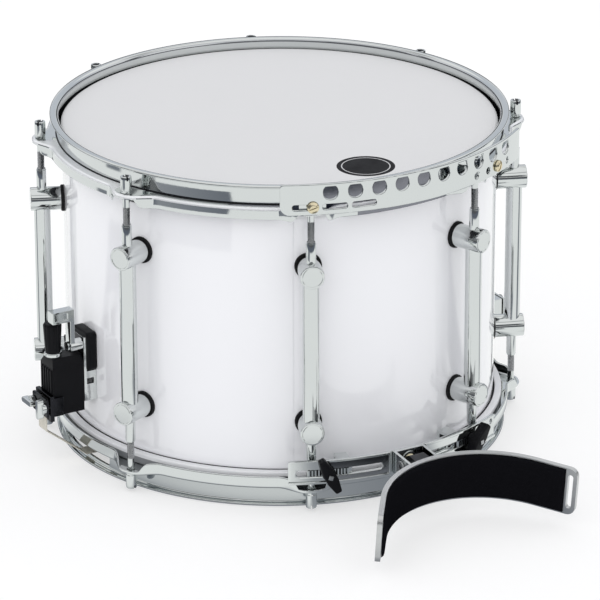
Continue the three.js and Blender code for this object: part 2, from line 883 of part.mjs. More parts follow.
// The plan of a bent strip: an arc with a straight stretch at each end, between two radii
function bentPlan(middle, outerRadius, innerRadius, straight) {
  const half = legRest.arcAngle * degrees;
  const step = half / legRest.arcSides;
  const side = (radius) => {
    const arc = [];
    for (let i = -legRest.arcSides; i <= legRest.arcSides; i++)
      arc.push([middle - radius * Math.cos(i * step), radius * Math.sin(i * step)]);
    const [x, y] = [straight * Math.sin(half), straight * Math.cos(half)];
    const [first, last] = [arc[0], arc[arc.length - 1]];
    return [[first[0] + x, first[1] - y], ...arc, [last[0] + x, last[1] + y]];
  };
  return polygon([...side(innerRadius), ...side(outerRadius).reverse()]);
}

function bentStrip(middle, outerRadius, innerRadius, straight, height) {
  const plan = bentPlan(middle, outerRadius, innerRadius, straight);
  const strip = new THREE.ExtrudeGeometry(plan, { depth: height, bevelEnabled: false });
  return toSolid(strip.translate(0, 0, -height / 2));
}

// Turns a tool made about the strip's end, facing outwards, to where that end lies
function atStripEnd(tool, side, middle) {
  const half = legRest.arcAngle * degrees;
  const along = new THREE.Vector3(Math.sin(half), Math.cos(half) * side, 0);
  const x = middle - legRest.radius * Math.cos(half) + legRest.end * along.x;
  const y = side * legRest.radius * Math.sin(half) + legRest.end * along.y;
  const turned = new THREE.Matrix4().makeRotationAxis(upright, -half * side).setPosition(x, y, 0);
  return toSolid(toGeometry(tool).applyMatrix4(turned));
}

function makeLegRest(station, pin) {
  const rest = new THREE.Group();
  rest.position.set(pin[0], 0, pin[1]);
  rest.rotation.y = legRest.tiltAngle * degrees;
  station.add(rest);
  const middle = legRest.reach + legRest.radius;
  const inner = legRest.radius - legRest.thick;
  let strip = bentStrip(middle, legRest.radius, inner, legRest.end, legRest.height);
  const through = [-overrun, legRest.thick + overrun];
  const slotRound = legRest.slotWidth / 2;
  for (const side of [-1, 1]) {
    const slot = outwardPrism(
      roundedBox(legRest.slotWidth, legRest.slotHeight, slotRound),
      through,
      -side * legRest.slotIn,
      0,
    );
    strip = strip.subtract(atStripEnd(slot, side, middle));
    for (const up of [-1, 1]) {
      const corner = cornerTool(legRest.corner, -side, -up);
      const tool = outwardPrism(corner, through, 0, (up * legRest.height) / 2);
      strip = strip.subtract(atStripEnd(tool, side, middle));
    }
  }
  const tongueHalf = legRest.tongueWidth / 2;
  const r = legRest.tongueRadius;
  strip = join(
    strip,
    block([0, legRest.reach + legRest.thick / 2], [-tongueHalf, tongueHalf], [-r, r]),
    sidewaysRound(r, legRest.tongueSides, [-tongueHalf, tongueHalf], 0, 0),
  );
  const bore = roundHole(hinge.pinRadius + clearance, hinge.pinSides);
  const across = tongueHalf + overrun;
  strip = strip.subtract(sidewaysRound(bore, hinge.pinSides, [-across, across], 0, 0));
  add(rest, "leg_rest", finish.satinAluminium, strip);

  const feltOut = inner - clearance;
  const felt = bentStrip(middle, feltOut, feltOut - lining.thick, lining.end, lining.height);
  add(rest, "leg_rest_lining", finish.felt, felt);
}

// A plate on the shell, its inner face hollowed to the shell's curve
function shellPlate(width, corner, bottom, top, outer) {
  const plate = outwardPrism(
    roundedBox(width, top - bottom, corner),
    [shell.radius - shell.wall, outer],
    0,
    (bottom + top) / 2,
  );
  return plate.subtract(shellHollow(bottom, top));
}

function shellHollow(bottom, top) {
  return disc([
    [0, bottom - overrun],
    [filmIn, bottom - overrun],
    [filmIn, top + overrun],
    [0, top + overrun],
  ]);
}

// The snare strainer, made in its station's frame at -X
function makeStrainer() {
  const station = new THREE.Group();
  station.rotation.z = Math.PI;
  drum.add(station);
  const s = strainer;
  const baseFace = shell.radius + s.baseOut;
  add(
    station,
    "strainer_base",
    finish.blackPlastic,
    shellPlate(s.baseWidth, s.baseCorner, s.baseBottom, s.baseTop, baseFace),
  );

  const webIn = baseFace + clearance;
  const webOut = webIn + s.bracketThick;
  const half = s.bracketWidth / 2;
  const inner = half - s.bracketThick;
  const foot = s.baseBottom - clearance;
  const hubEnd = webOut + lever.armOut + lever.armThick;
  const pinEnd = hubEnd + clearance + lever.pinHead;
  const bracket = cut(
    join(
      block([webIn, webOut], [-half, half], [s.bracketBottom, bracketTop]),
      block([shell.radius - shell.wall, webOut], [-half, -inner], [s.bracketBottom, foot]),
      block([shell.radius - shell.wall, webOut], [inner, half], [s.bracketBottom, foot]),
      outwardRound(lever.pinRadius, rod.sides, [webIn, pinEnd], lever.side, leverHeight),
      outwardRound(
        lever.pinHeadRadius,
        wing.sides,
        [hubEnd + clearance, pinEnd],
        lever.side,
        leverHeight,
      ),
    ),
    shellHollow(s.bracketBottom, foot),
    block([shell.radius + s.windowIn, webIn], [-half - overrun, half + overrun], [
      s.windowBottom,
      s.windowTop,
    ]),
  );
  add(station, "strainer_bracket", finish.chrome, bracket);

  const backFace = webOut + clearance;
  const frontFace = backFace + s.bodyDepth;
  const axis = frontFace - knob.out;
  makeHousing(station, backFace, frontFace, axis);
  makeKnob(station, axis);
  makeLever(station, webOut);
  makeClamp(station, frontFace, axis);
}

function makeHousing(station, backFace, frontFace, axis) {
  const s = strainer;
  const half = s.bodyWidth / 2;
  const sideView = polygon([
    [backFace, s.bodyBottom],
    [frontFace, s.bodyBottom],
    [frontFace, s.bodyShoulder],
    [frontFace - s.topInset / 2, s.bodyTop],
    [backFace, s.bodyTop],
  ]);
  const frontView = polygon([
    [-half, s.bodyBottom],
    [half, s.bodyBottom],
    [half, s.bodyShoulder],
    [half - s.topInset, s.bodyTop],
    [s.topInset - half, s.bodyTop],
    [-half, s.bodyShoulder],
  ]);
  let body = sidewaysPrism(sideView, s.bodyWidth).intersect(
    outwardPrism(frontView, [backFace - overrun, frontFace + overrun]),
  );
  const inner = half - s.bodyWall;
  const neckHalf = clamp.neckWidth / 2 + clearance;
  body = cut(
    body,
    block([backFace + s.bodyWall, frontFace - s.bodyWall], [-inner, inner], [
      s.bodyBottom - overrun,
      s.bodyShoulder - s.bodyWall,
    ]),
    block([axis, frontFace + overrun], [-neckHalf, neckHalf], [
      s.bodyBottom - overrun,
      clamp.neckTop + clearance,
    ]),
    uprightRound(
      roundHole(knob.spindleRadius + clearance, rod.sides),
      rod.sides,
      [s.bodyShoulder - s.bodyWall - overrun, s.bodyTop + overrun],
      axis,
      0,
    ),
  );
  const ribHalf = s.ribWidth / 2;
  for (let i = 0; i < s.ribCount; i++) {
    const y = (i - (s.ribCount - 1) / 2) * s.ribStep;
    body = body.add(
      block([frontFace - s.bodyWall / 2, frontFace + s.ribOut], [y - ribHalf, y + ribHalf], [
        s.ribBottom,
        s.ribTop,
      ]),
    );
  }
  add(station, "strainer_housing", finish.blackPlastic, body);
}

function makeKnob(station, axis) {
  const bottom = knobBottom;
  const grip = bottom + knob.ringHeight;
  const top = knobTop;
  let body = join(
    uprightRound(knob.spindleRadius, rod.sides, [knob.spindleEnd, grip], 0, 0),
    uprightRound(knob.ringRadius, knob.sides, [bottom, grip], 0, 0),
    uprightRound(knob.lowRadius, knob.sides, [grip, top], 0, 0, knob.topRadius),
  );
  for (let i = 0; i < knob.grooveCount; i++) {
    const angle = (i * 2 * Math.PI) / knob.grooveCount;
    const reach = (knob.topRadius + knob.lowRadius) / 2 + knob.grooveRadius / 2;
    const groove = uprightRound(
      knob.grooveRadius,
      6,
      [grip + overrun, top + overrun],
      reach * Math.cos(angle),
      reach * Math.sin(angle),
    );
    body = body.subtract(groove);
  }
  const mesh = add(station, "tension_knob", finish.blackPlastic, body);
  mesh.position.x = axis;
}

function makeLever(station, webOut) {
  const armIn = webOut + lever.armOut;
  const armOut = armIn + lever.armThick;
  const half = lever.armWidth / 2;
  const padHalf = lever.padWidth / 2;
  const padOut = armIn + lever.padDepth;
  const dishIn = armOut + lever.padDishMargin;
  const body = cut(
    join(
      outwardRound(lever.hubRadius, wing.sides, [webOut + clearance, armOut], 0, 0),
      block([armIn, armOut], [-half, half], [0, padTop]),
      block([armIn, padOut], [-padHalf, padHalf], [padBottom, padTop]),
    ),
    outwardRound(
      roundHole(lever.pinRadius + clearance, rod.sides),
      rod.sides,
      [webOut - overrun, armOut + overrun],
      0,
      0,
    ),
    block([dishIn, padOut - lever.padDishMargin], [padHalf - lever.padDish, padHalf + overrun], [
      padBottom + lever.padDishMargin,
      padTop - lever.padDishMargin,
    ]),
  );
  const mesh = add(station, "throw_lever", finish.chrome, body);
  mesh.position.set(0, lever.side, leverHeight);
}

function makeClamp(station, frontFace, axis) {
  const c = clamp;
  const half = c.width / 2;
  const blockIn = frontFace + clearance;
  const blockOut = blockIn + c.thick;
  const cheekIn = strainer.bodyWidth / 2 + clearance;
  const screwHole = roundHole(c.screwRadius + clearance, rod.sides);
  const neckHalf = c.neckWidth / 2;
  const cheeks = [
    [cheekIn, cheekIn + c.cheekThick],
    [-cheekIn - c.cheekThick, -cheekIn],
  ];
  let body = join(
    block([blockIn, blockOut], [-half - clearance, half + clearance], [c.bottom, c.top]),
    block([axis - c.neckIn, blockIn + c.thick / 2], [-neckHalf, neckHalf], [c.neckBottom, c.neckTop]),
    ...cheeks.map((across) =>
      block([frontFace - c.cheekIn, blockIn + c.thick / 2], across, [c.cheekBottom, c.cheekTop]),
    ),
  );
  body = body.subtract(
    uprightRound(
      roundHole(knob.spindleRadius + clearance, rod.sides),
      rod.sides,
      [c.neckBottom - overrun, c.neckTop + overrun],
      axis,
      0,
    ),
  );
  const strapRoom = strap.thick + 2 * clearance;
  const plateIn = blockOut + strapRoom;
  const plateOut = plateIn + c.plateThick;
  let plate = outwardPrism(
    roundedBox(c.width, c.plateTop - c.plateBottom, overrun),
    [plateIn, plateOut],
    0,
    (c.plateTop + c.plateBottom) / 2,
  );
  for (const side of [-1, 1]) {
    const y = side * c.screwSide;
    body = body.subtract(
      outwardRound(screwHole, rod.sides, [blockOut - c.screwIn, blockOut + overrun], y, c.screwHeight),
    );
    plate = plate.subtract(
      outwardRound(screwHole, rod.sides, [plateIn - overrun, plateOut + overrun], y, c.screwHeight),
    );
  }
  add(station, "snare_clamp_block", finish.blackPlastic, body);
  add(station, "snare_clamp_plate", finish.chrome, plate);
  for (const side of [-1, 1]) {
    const seat = plateOut + clearance;
    const hubEnd = seat + c.screwHeadLength;
    const wings = roundedBox(c.screwWingWidth, c.screwWingLength, c.screwWingWidth / 2 - clearance);
    const screw = join(
      outwardRound(c.screwRadius, rod.sides, [blockOut - c.screwIn + clearance, seat + overrun], 0, 0),
      outwardRound(c.screwHeadRadius, c.screwSides, [seat, hubEnd], 0, 0),
      outwardPrism(wings, [hubEnd - overrun, hubEnd - overrun + c.screwWingOut], 0, 0, 3),
    );
    const name = side > 0 ? "thumb_screw_front" : "thumb_screw_rear";
    const mesh = add(station, name, finish.chrome, screw);
    mesh.position.set(0, side * c.screwSide, c.screwHeight);
    mesh.rotation.x = side > 0 ? 0 : Math.PI / 2;
  }
  makeStrap(station, "snare_strap_strainer", blockOut + strapRoom / 2, strap.strainerTurn, strap.strainerEnd);
}

// A strap runs flat from the snares, turns up outside the hoop and ends in its clamp
function makeStrap(station, name, clampRadius, turnHeight, endHeight) {
  const middle = strapHeight();
  const route = [
    [snareReach + clearance, middle],
    [shell.radius + strap.turnOut, middle],
    [clampRadius, turnHeight],
    [clampRadius, endHeight],
  ];
  const half = strap.thick / 2;
  const offset = (sign) =>
    route.map(([x, z], i) => {
      const before = route[Math.max(i - 1, 0)];
      const after = route[Math.min(i + 1, route.length - 1)];
      const a = i > 0 ? Math.atan2(z - before[1], x - before[0]) : null;
      const b = i < route.length - 1 ? Math.atan2(after[1] - z, after[0] - x) : null;
      const [first, second] = [a ?? b, b ?? a];
      const mid = (first + second) / 2;
      const out = (sign * half) / Math.cos((second - first) / 2);
      return [x - out * Math.sin(mid), z + out * Math.cos(mid)];
    });
  const outline = polygon([...offset(-1), ...offset(1).reverse()]);
  add(station, name, finish.webbing, sidewaysPrism(outline, strap.width));
}

function strapHeight() {
  return -clearance - head.film - snares.drop - snares.plateThick / 2;
}

function makeButt() {
  const station = new THREE.Group();
  drum.add(station);
  const b = butt;
  const half = b.bodyWidth / 2;
  const bodyOut = shell.radius + b.bodyDepth;
  const strapRoom = strap.thick + 2 * clearance;
  const plateIn = bodyOut + strapRoom;
  const plateOut = plateIn + b.plateThick;
  const hole = (radius, from, to) =>
    outwardRound(roundHole(radius + clearance, rod.sides), rod.sides, [from, to], 0, b.screwHeight);
  const inner = shell.radius - shell.wall;
  const body = cut(
    join(
      shellPlate(b.baseWidth, b.baseCorner, b.baseBottom, b.baseTop, shell.radius + b.baseThick),
      cut(block([inner, bodyOut], [-half, half], [b.bodyBottom, b.bodyTop]), shellHollow(b.baseBottom, b.baseTop)),
    ),
    hole(b.screwRadius, bodyOut - b.screwIn, bodyOut + overrun),
  );
  add(station, "butt_end", finish.blackPlastic, body);
  const plate = cut(
    block([plateIn, plateOut], [-half, half], [b.plateBottom, b.bodyTop]),
    hole(b.screwRadius, plateIn - overrun, plateOut + overrun),
  );
  add(station, "butt_clamp_plate", finish.chrome, plate);
  const seat = plateOut + clearance;
  const screw = join(
    outwardRound(b.screwRadius, rod.sides, [bodyOut - b.screwIn + clearance, seat + overrun / 2], 0, 0),
    outwardRound(b.screwHeadRadius, wing.sides, [seat, seat + b.screwHeadLength], 0, 0),
  );
  const mesh = add(station, "butt_clamp_screw", finish.steel, screw);
  mesh.position.z = b.screwHeight;
  makeStrap(station, "snare_strap_butt", bodyOut + strapRoom / 2, strap.buttTurn, strap.buttEnd);
}

function makeSnares() {
  const middle = strapHeight();
  const half = snares.width / 2;
  const thick = snares.plateThick / 2;
  const end = snareReach;
  const start = end - snares.plateLength;
  const step = (snares.width - 4 * snares.radius) / (snares.count - 1);
  let body = join(
    block([start, end], [-half, half], [middle - thick, middle + thick]),
    block([-end, -start], [-half, half], [middle - thick, middle + thick]),
  );
  for (let i = 0; i < snares.count; i++) {
    const y = (i - (snares.count - 1) / 2) * step;
    body = body.add(
      outwardRound(snares.radius, snares.sides, [-start - overrun, start + overrun], y, middle),
    );
  }
  add(drum, "snare_wires", finish.steel, body);
}

makeShell();
makeHead(batterEnd, "batter");
makeHead(snareEnd, "snare");
makeHoop(batterEnd, "batter_hoop", false);
makeHoop(snareEnd, "snare_hoop", true);
stationAngles.forEach((angle, i) => {
  const number = i + 1;
  const nearRail = [railBracket.left.stationAngle, railBracket.right.stationAngle].some(
    (station) => (angle - station) % 360 === 0,
  );
  makeLug("tube_lug_" + number, angle);
  makeRod(batterEnd, "batter_rod_" + number, angle, nearRail ? railBracket.thick + clearance : 0);
  makeRod(snareEnd, "snare_rod_" + number, 180 - angle, 0);
});
makeSlingRail();
makeRailBracket("left", railBracket.left);
makeRailBracket("right", railBracket.right);
makeLegRail();
makeClaw("left", -1);
makeClaw("right", 1);
makeWingScrew("left", -1);
makeWingScrew("right", 1);
makeYoke();
makeStrainer();
makeButt();
makeSnares();

export default drum;
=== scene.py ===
# Looks of the marching snare drum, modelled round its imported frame. Metres, +Z up.
import math

import bpy
from mathutils import Matrix, Vector


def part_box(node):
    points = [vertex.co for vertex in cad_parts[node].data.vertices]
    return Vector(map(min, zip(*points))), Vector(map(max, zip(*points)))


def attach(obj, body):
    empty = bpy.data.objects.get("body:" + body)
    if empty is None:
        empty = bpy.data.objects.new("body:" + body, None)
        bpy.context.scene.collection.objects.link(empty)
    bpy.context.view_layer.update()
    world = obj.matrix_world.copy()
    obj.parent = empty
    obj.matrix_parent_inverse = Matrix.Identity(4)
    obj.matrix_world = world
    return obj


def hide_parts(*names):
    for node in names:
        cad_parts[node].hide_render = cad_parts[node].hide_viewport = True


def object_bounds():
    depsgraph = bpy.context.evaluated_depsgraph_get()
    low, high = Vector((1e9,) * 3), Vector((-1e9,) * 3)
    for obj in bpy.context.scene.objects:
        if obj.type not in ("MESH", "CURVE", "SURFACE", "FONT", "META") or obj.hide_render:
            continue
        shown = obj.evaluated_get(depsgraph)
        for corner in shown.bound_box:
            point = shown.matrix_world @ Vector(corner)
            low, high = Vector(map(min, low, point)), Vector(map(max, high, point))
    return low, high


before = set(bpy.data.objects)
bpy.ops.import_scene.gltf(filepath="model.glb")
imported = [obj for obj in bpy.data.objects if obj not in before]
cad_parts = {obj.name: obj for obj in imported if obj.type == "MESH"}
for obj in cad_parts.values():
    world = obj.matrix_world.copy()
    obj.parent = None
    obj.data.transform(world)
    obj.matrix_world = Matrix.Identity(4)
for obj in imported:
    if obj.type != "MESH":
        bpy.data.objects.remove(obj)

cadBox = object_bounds()
shellLow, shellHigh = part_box("shell")
drum = {
    "radius": shellHigh.x,
    "height": shellHigh.z - shellLow.z,
    "wall": 0.0065,
    "rodCircle": 0.1955,
    "firstLug": 22.5,  # degrees from the leg rest
    "lugStep": 45,
    "postRise": 0.0662,  # from the middle of the shell to a post
}
merge = 1e-6  # points nearer than this become one
lugAngles = [drum["firstLug"] + drum["lugStep"] * i for i in range(8)]


def turn(angle, axis="Z"):
    return Matrix.Rotation(math.radians(angle), 4, axis)


def shift(x, y, z):
    return Matrix.Translation((x, y, z))


def level(height):
    return shellLow.z + height  # heights count up from the shell's bottom edge


def station(angle, out=0.0, height=0.0):
    # x outwards, y sideways, z up; angles count from the leg rest towards +X
    return turn(angle - 90) @ shift(out, 0, level(height))


def relative(point):
    # the angle of a point, counted as a station's
    return (math.degrees(math.atan2(point.y, point.x)) + 90 + 180) % 360 - 180


def fromAxis(point):
    return math.hypot(point.x, point.y)


# lays a piece's own Z along a station's x
outwards = Matrix(((0, 0, 1, 0), (1, 0, 0, 0), (0, 1, 0, 0), (0, 0, 0, 1)))
batterEnd = shift(0, 0, level(drum["height"]))
snareEnd = shift(0, 0, level(0)) @ turn(180, "X")


# Modelling helpers

def clearSelection():
    active = bpy.context.view_layer.objects.active
    if active and active.mode != "OBJECT":
        bpy.ops.object.mode_set(mode="OBJECT")
    bpy.ops.object.select_all(action="DESELECT")


def pick(obj):
    clearSelection()
    obj.select_set(True)
    bpy.context.view_layer.objects.active = obj


def openMesh(obj):
    pick(obj)
    bpy.ops.object.mode_set(mode="EDIT")
    bpy.ops.mesh.select_mode(type="VERT")
    bpy.ops.mesh.select_all(action="SELECT")


def closeMesh(recalculate=True):
    bpy.ops.mesh.select_all(action="SELECT")
    bpy.ops.mesh.remove_doubles(threshold=merge)
    if recalculate:
        bpy.ops.mesh.normals_make_consistent(inside=False)
    bpy.ops.object.mode_set(mode="OBJECT")


def drawLine(name, points):
    # a line of edges in the XZ plane, drawn by extruding one vertex from point to point
    clearSelection()
    bpy.ops.mesh.primitive_plane_add(size=0.001)
    obj = bpy.context.object
    obj.name = obj.data.name = name
    openMesh(obj)
    bpy.ops.mesh.merge(type="CENTER")
    here = points[0]
    bpy.ops.transform.translate(value=(here[0], 0, here[1]))
    for point in points[1:]:
        step = (point[0] - here[0], 0, point[1] - here[1])
        bpy.ops.mesh.extrude_region_move(TRANSFORM_OT_translate={"value": step})
        here = point
    return obj


def turned(name, profile, sides=48, closed=False):
    # a profile of (radius, height) spun round Z
    obj = drawLine(name, [*profile, profile[0]] if closed else profile)
    bpy.ops.mesh.select_all(action="SELECT")
    bpy.ops.mesh.spin(steps=sides, angle=2 * math.pi, center=(0, 0, 0), axis=(0, 0, 1))
    closeMesh()
    return obj


def turnedOutwards(name, profile, sides, x, closed=False):
    # a profile of (radius, distance outwards), spun and laid along a station's x
    return place(turned(name, profile, sides, closed), shift(x, 0, 0) @ outwards)


def drawn(name, profile, width):
    # a closed profile in the XZ plane, extruded along Y about the middle
    obj = drawLine(name, [*profile, profile[0]])
    bpy.ops.mesh.select_all(action="SELECT")
    bpy.ops.mesh.remove_doubles(threshold=merge)
    bpy.ops.mesh.edge_face_add()
    bpy.ops.transform.translate(value=(0, -width / 2, 0))
    bpy.ops.mesh.extrude_region_move(TRANSFORM_OT_translate={"value": (0, width, 0)})
    closeMesh()
    return obj


def softCorners(points, closed=True, steps=4):
    # rounds each corner (x, y, radius) into an arc that takes up less than half of the shorter side beside it
    soft = []
    most = 0.49
    for i, (x, y, radius) in enumerate(points):
        atEnd = not closed and i in (0, len(points) - 1)
        if radius == 0 or atEnd:
            soft.append((x, y))
            continue
        here = Vector((x, y))
        before = Vector(points[i - 1][:2]) - here
        after = Vector(points[(i + 1) % len(points)][:2]) - here
        half = before.angle(after) / 2
        reach = min(radius / math.tan(half), before.length * most, after.length * most)
        arm = reach / math.cos(half)
        middle = here + (before.normalized() + after.normalized()).normalized() * arm
        start = here + before.normalized() * reach - middle
        end = here + after.normalized() * reach - middle
        for k in range(steps + 1):
            spoke = start.normalized().slerp(end.normalized(), k / steps)
            soft.append(tuple(middle + spoke * start.length))
    return soft


def roundOutline(x, y, radius, sides=24):
    angles = [2 * math.pi * k / sides for k in range(sides)]
    return [(x + radius * math.cos(a), y + radius * math.sin(a)) for a in angles]


def boxOutline(x, y, width, height, radius, steps=5):
    right, top = width / 2, height / 2
    corners = [(-right, -top), (right, -top), (right, top), (-right, top)]
    return softCorners([(x + a, y + b, radius) for a, b in corners], steps=steps)


def plate(name, outline, thick, bevel, bevelSteps=2, holes=()):
    # a flat plate in the XY plane, its thickness about Z
    clearSelection()
    curve = bpy.data.curves.new(name, "CURVE")
    curve.dimensions = "2D"
    curve.fill_mode = "BOTH"
    curve.extrude = thick / 2 - bevel
    curve.bevel_depth = bevel
    curve.bevel_resolution = bevelSteps - 1
    curve.offset = -bevel
    for ring in (outline, *holes):
        spline = curve.splines.new("POLY")
        spline.points.add(len(ring) - 1)
        spline.use_cyclic_u = True
        for point, (x, y) in zip(spline.points, ring):
            point.co = (x, y, 0, 1)
    obj = bpy.data.objects.new(name, curve)
    bpy.context.collection.objects.link(obj)
    pick(obj)
    bpy.ops.object.convert(target="MESH")
    obj = bpy.context.object
    openMesh(obj)
    closeMesh()
    return obj


def roundCutter(sides, radius, depth):
    clearSelection()
    bpy.ops.mesh.primitive_cylinder_add(vertices=sides, radius=radius, depth=depth)
    return bpy.context.object


def boxCutter(*dimensions):
    clearSelection()
    bpy.ops.mesh.primitive_cube_add(size=1)
    bpy.context.object.dimensions = dimensions
    return bpy.context.object


def place(obj, matrix):
    pick(obj)
    bpy.context.view_layer.update()
    obj.matrix_world = matrix @ obj.matrix_world
    bpy.ops.object.transform_apply(location=True, rotation=True, scale=True)
    return obj


def copyPiece(obj, name):
    twin = obj.copy()
    twin.data = obj.data.copy()
    twin.name = twin.data.name = name
    bpy.context.collection.objects.link(twin)
    return twin


def discard(*pieces):
    for piece in pieces:
        bpy.data.objects.remove(piece)


def joined(name, *pieces):
    clearSelection()
    for piece in pieces:
        piece.select_set(True)
    bpy.context.view_layer.objects.active = pieces[0]
    bpy.ops.object.join()
    obj = bpy.context.object
    obj.name = obj.data.name = name
    return obj


def applyModifier(obj, kind, **values):
    pick(obj)
    modifier = obj.modifiers.new(kind.lower(), kind)
    for key, value in values.items():
        setattr(modifier, key, value)
    bpy.ops.object.modifier_apply(modifier=modifier.name)


def combine(obj, other, operation="DIFFERENCE"):
    applyModifier(obj, "BOOLEAN", operation=operation, solver="EXACT", object=other)
    discard(other)


def smooth(obj, angle=35):
    pick(obj)
    bpy.ops.object.shade_smooth_by_angle(angle=math.radians(angle))
    return obj


def bentRound(obj, radius, step):
    # bends a flat upright strip (X along, Z up, its outer face to -Y) round the drum's axis
    start = min(v.co.x for v in obj.data.vertices)
    length = max(v.co.x for v in obj.data.vertices) - start
    count = round(length / step)
    openMesh(obj)
    for k in range(1, count):
        bpy.ops.mesh.select_all(action="SELECT")
        bpy.ops.mesh.bisect(plane_co=(start + length * k / count, 0, 0), plane_no=(1, 0, 0))
    closeMesh(recalculate=False)
    applyModifier(obj, "SIMPLE_DEFORM", deform_method="BEND", deform_axis="Z", angle=length / radius)
    return place(obj, shift(0, -radius, 0))


def refined(node, name, bevel, segments=3):
    # a fine copy of a node: its triangles merged into faces, and its edges softened
    flat, edge = math.radians(0.4), 30
    obj = bpy.data.objects.new(name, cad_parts[node].data.copy())
    obj.data.name = name
    bpy.context.collection.objects.link(obj)
    openMesh(obj)
    bpy.ops.mesh.remove_doubles(threshold=merge)
    bpy.ops.mesh.dissolve_limited(angle_limit=flat)
    closeMesh()
    obj.data.materials.clear()
    applyModifier(obj, "BEVEL", width=bevel, segments=segments, limit_method="ANGLE",
                  angle_limit=math.radians(edge), use_clamp_overlap=True)
    smooth(obj, edge)
    applyModifier(obj, "WEIGHTED_NORMAL", keep_sharp=True)
    return obj


def dress(obj, *materials):
    obj.data.materials.clear()
    for material in materials:
        obj.data.materials.append(material)
    return obj


def markFaces(obj, choose):
    # choose gives each face the number of one of the piece's materials
    for face in obj.data.polygons:
        face.material_index = int(choose(face))


def facing(face):
    # 1 for a face that looks straight away from the drum's axis, -1 for one that looks at it
    return face.normal.dot(Vector((face.center.x, face.center.y, 0)).normalized())


def settle(obj, body, slot, *nodes):
    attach(obj, body)
    if nodes:
        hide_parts(*nodes)
    return obj


def smoothStep(low, high, value):
    share = min(1.0, max(0.0, (value - low) / (high - low)))
    return share * share * (3 - 2 * share)


# Materials. Groups put out only what changes over the surface.

def feed(tree, socket, source):
    # a socket takes a link from another one, or a plain value
    if isinstance(source, bpy.types.NodeSocket):
        tree.links.new(source, socket)
    else:
        socket.default_value = source


def addNode(tree, kind, feeds=None, **settings):
    node = tree.nodes.new(kind)
    for key, value in settings.items():
        setattr(node, key, value)
    for key, source in (feeds or {}).items():
        feed(tree, node.inputs[key], source)
    return node


def maths(tree, operation, *operands):
    node = addNode(tree, "ShaderNodeMath", dict(enumerate(operands)), operation=operation)
    return node.outputs[0]


def mapRange(tree, value, low, high, first=0.0, last=1.0, kind="LINEAR"):
    feeds = {"Value": value, "From Min": low, "From Max": high, "To Min": first, "To Max": last}
    return addNode(tree, "ShaderNodeMapRange", feeds, interpolation_type=kind).outputs[0]


def mixColour(tree, factor, first, second):
    feeds = {"Factor": factor, "A": first, "B": second}
    return addNode(tree, "ShaderNodeMix", feeds, data_type="RGBA").outputs["Result"]


def noise(tree, vector, scale, detail, **more):
    feeds = {"Vector": vector, "Scale": scale, "Detail": detail, **more}
    return addNode(tree, "ShaderNodeTexNoise", feeds).outputs["Fac"]


def newGroup(name, result, resultKind, **numbers):
    # a group that reads Vector and the numbers, and puts out one result
    tree = bpy.data.node_groups.new(name, "ShaderNodeTree")
    tree.interface.new_socket("Vector", in_out="INPUT", socket_type="NodeSocketVector")
    for label, value in numbers.items():
        kind = "NodeSocketColor" if label == "Colour" else "NodeSocketFloat"
        tree.interface.new_socket(label, in_out="INPUT", socket_type=kind).default_value = value
    tree.interface.new_socket(result, in_out="OUTPUT", socket_type=resultKind)
    given = tree.nodes.new("NodeGroupInput").outputs
    return tree, given, tree.nodes.new("NodeGroupOutput").inputs[result]


def makeToneGroup():
    # the colour, a little lighter and darker from place to place
    tree, given, out = newGroup(
        "surfaceTone", "Colour", "NodeSocketColor", Colour=(1, 1, 1, 1), Scale=40, Variation=0.04,
    )
    cloud = noise(tree, given["Vector"], given["Scale"], 4)
    spread = maths(tree, "MULTIPLY", cloud, given["Variation"])
    gain = maths(tree, "ADD", maths(tree, "SUBTRACT", spread, given["Variation"]), 1)
    scaled = addNode(tree, "ShaderNodeVectorMath", {0: given["Colour"], "Scale": gain}, operation="SCALE")
    feed(tree, out, scaled.outputs[0])
    return tree


def makeGlossGroup():
    tree, given, out = newGroup("surfaceGloss", "Roughness", "NodeSocketFloat", Scale=12, Low=0.1, High=0.2)
    usual = (0.35, 0.65)  # most of the noise lies between these
    cloud = noise(tree, given["Vector"], given["Scale"], 5, Roughness=0.6)
    feed(tree, out, mapRange(tree, cloud, *usual, given["Low"], given["High"]))
    return tree


def makeGrainGroup():
    tree, given, out = newGroup("surfaceGrain", "Height", "NodeSocketFloat", Scale=900, Coarse=0.3)
    wideScale = 60
    fine = noise(tree, given["Vector"], given["Scale"], 2)
    wide = noise(tree, given["Vector"], wideScale, 2)
    feed(tree, out, maths(tree, "ADD", fine, maths(tree, "MULTIPLY", wide, given["Coarse"])))
    return tree


toneGroup = makeToneGroup()
glossGroup = makeGlossGroup()
grainGroup = makeGrainGroup()


def placeGroup(tree, group, vector, **values):
    return addNode(tree, "ShaderNodeGroup", {"Vector": vector, **values}, node_tree=group).outputs[0]


def newMaterial(name, colour, tone, rough, grain, stretch=None, sockets=None):
    # tone is (scale, variation), rough (scale, low, high) and grain (scale, coarse share, bump distance)
    material = bpy.data.materials.new(name)
    material.use_nodes = True
    tree = material.node_tree
    shader = tree.nodes["Principled BSDF"]
    where = tree.nodes.new("ShaderNodeTexCoord").outputs["Object"]
    if stretch:
        where = addNode(tree, "ShaderNodeMapping", {"Vector": where, "Scale": stretch}).outputs["Vector"]
    look = placeGroup(tree, toneGroup, where, Colour=(*colour, 1), Scale=tone[0], Variation=tone[1])
    gloss = placeGroup(tree, glossGroup, where, Scale=rough[0], Low=rough[1], High=rough[2])
    height = placeGroup(tree, grainGroup, where, Scale=grain[0], Coarse=grain[1])
    bump = addNode(tree, "ShaderNodeBump", {"Height": height, "Distance": grain[2]}).outputs["Normal"]
    feeds = {"Base Color": look, "Roughness": gloss, "Normal": bump, **(sockets or {})}
    for key, source in feeds.items():
        feed(tree, shader.inputs[key], source)
    return material, tree, shader, where


def plainMaterial(*look, **more):
    return newMaterial(*look, **more)[0]


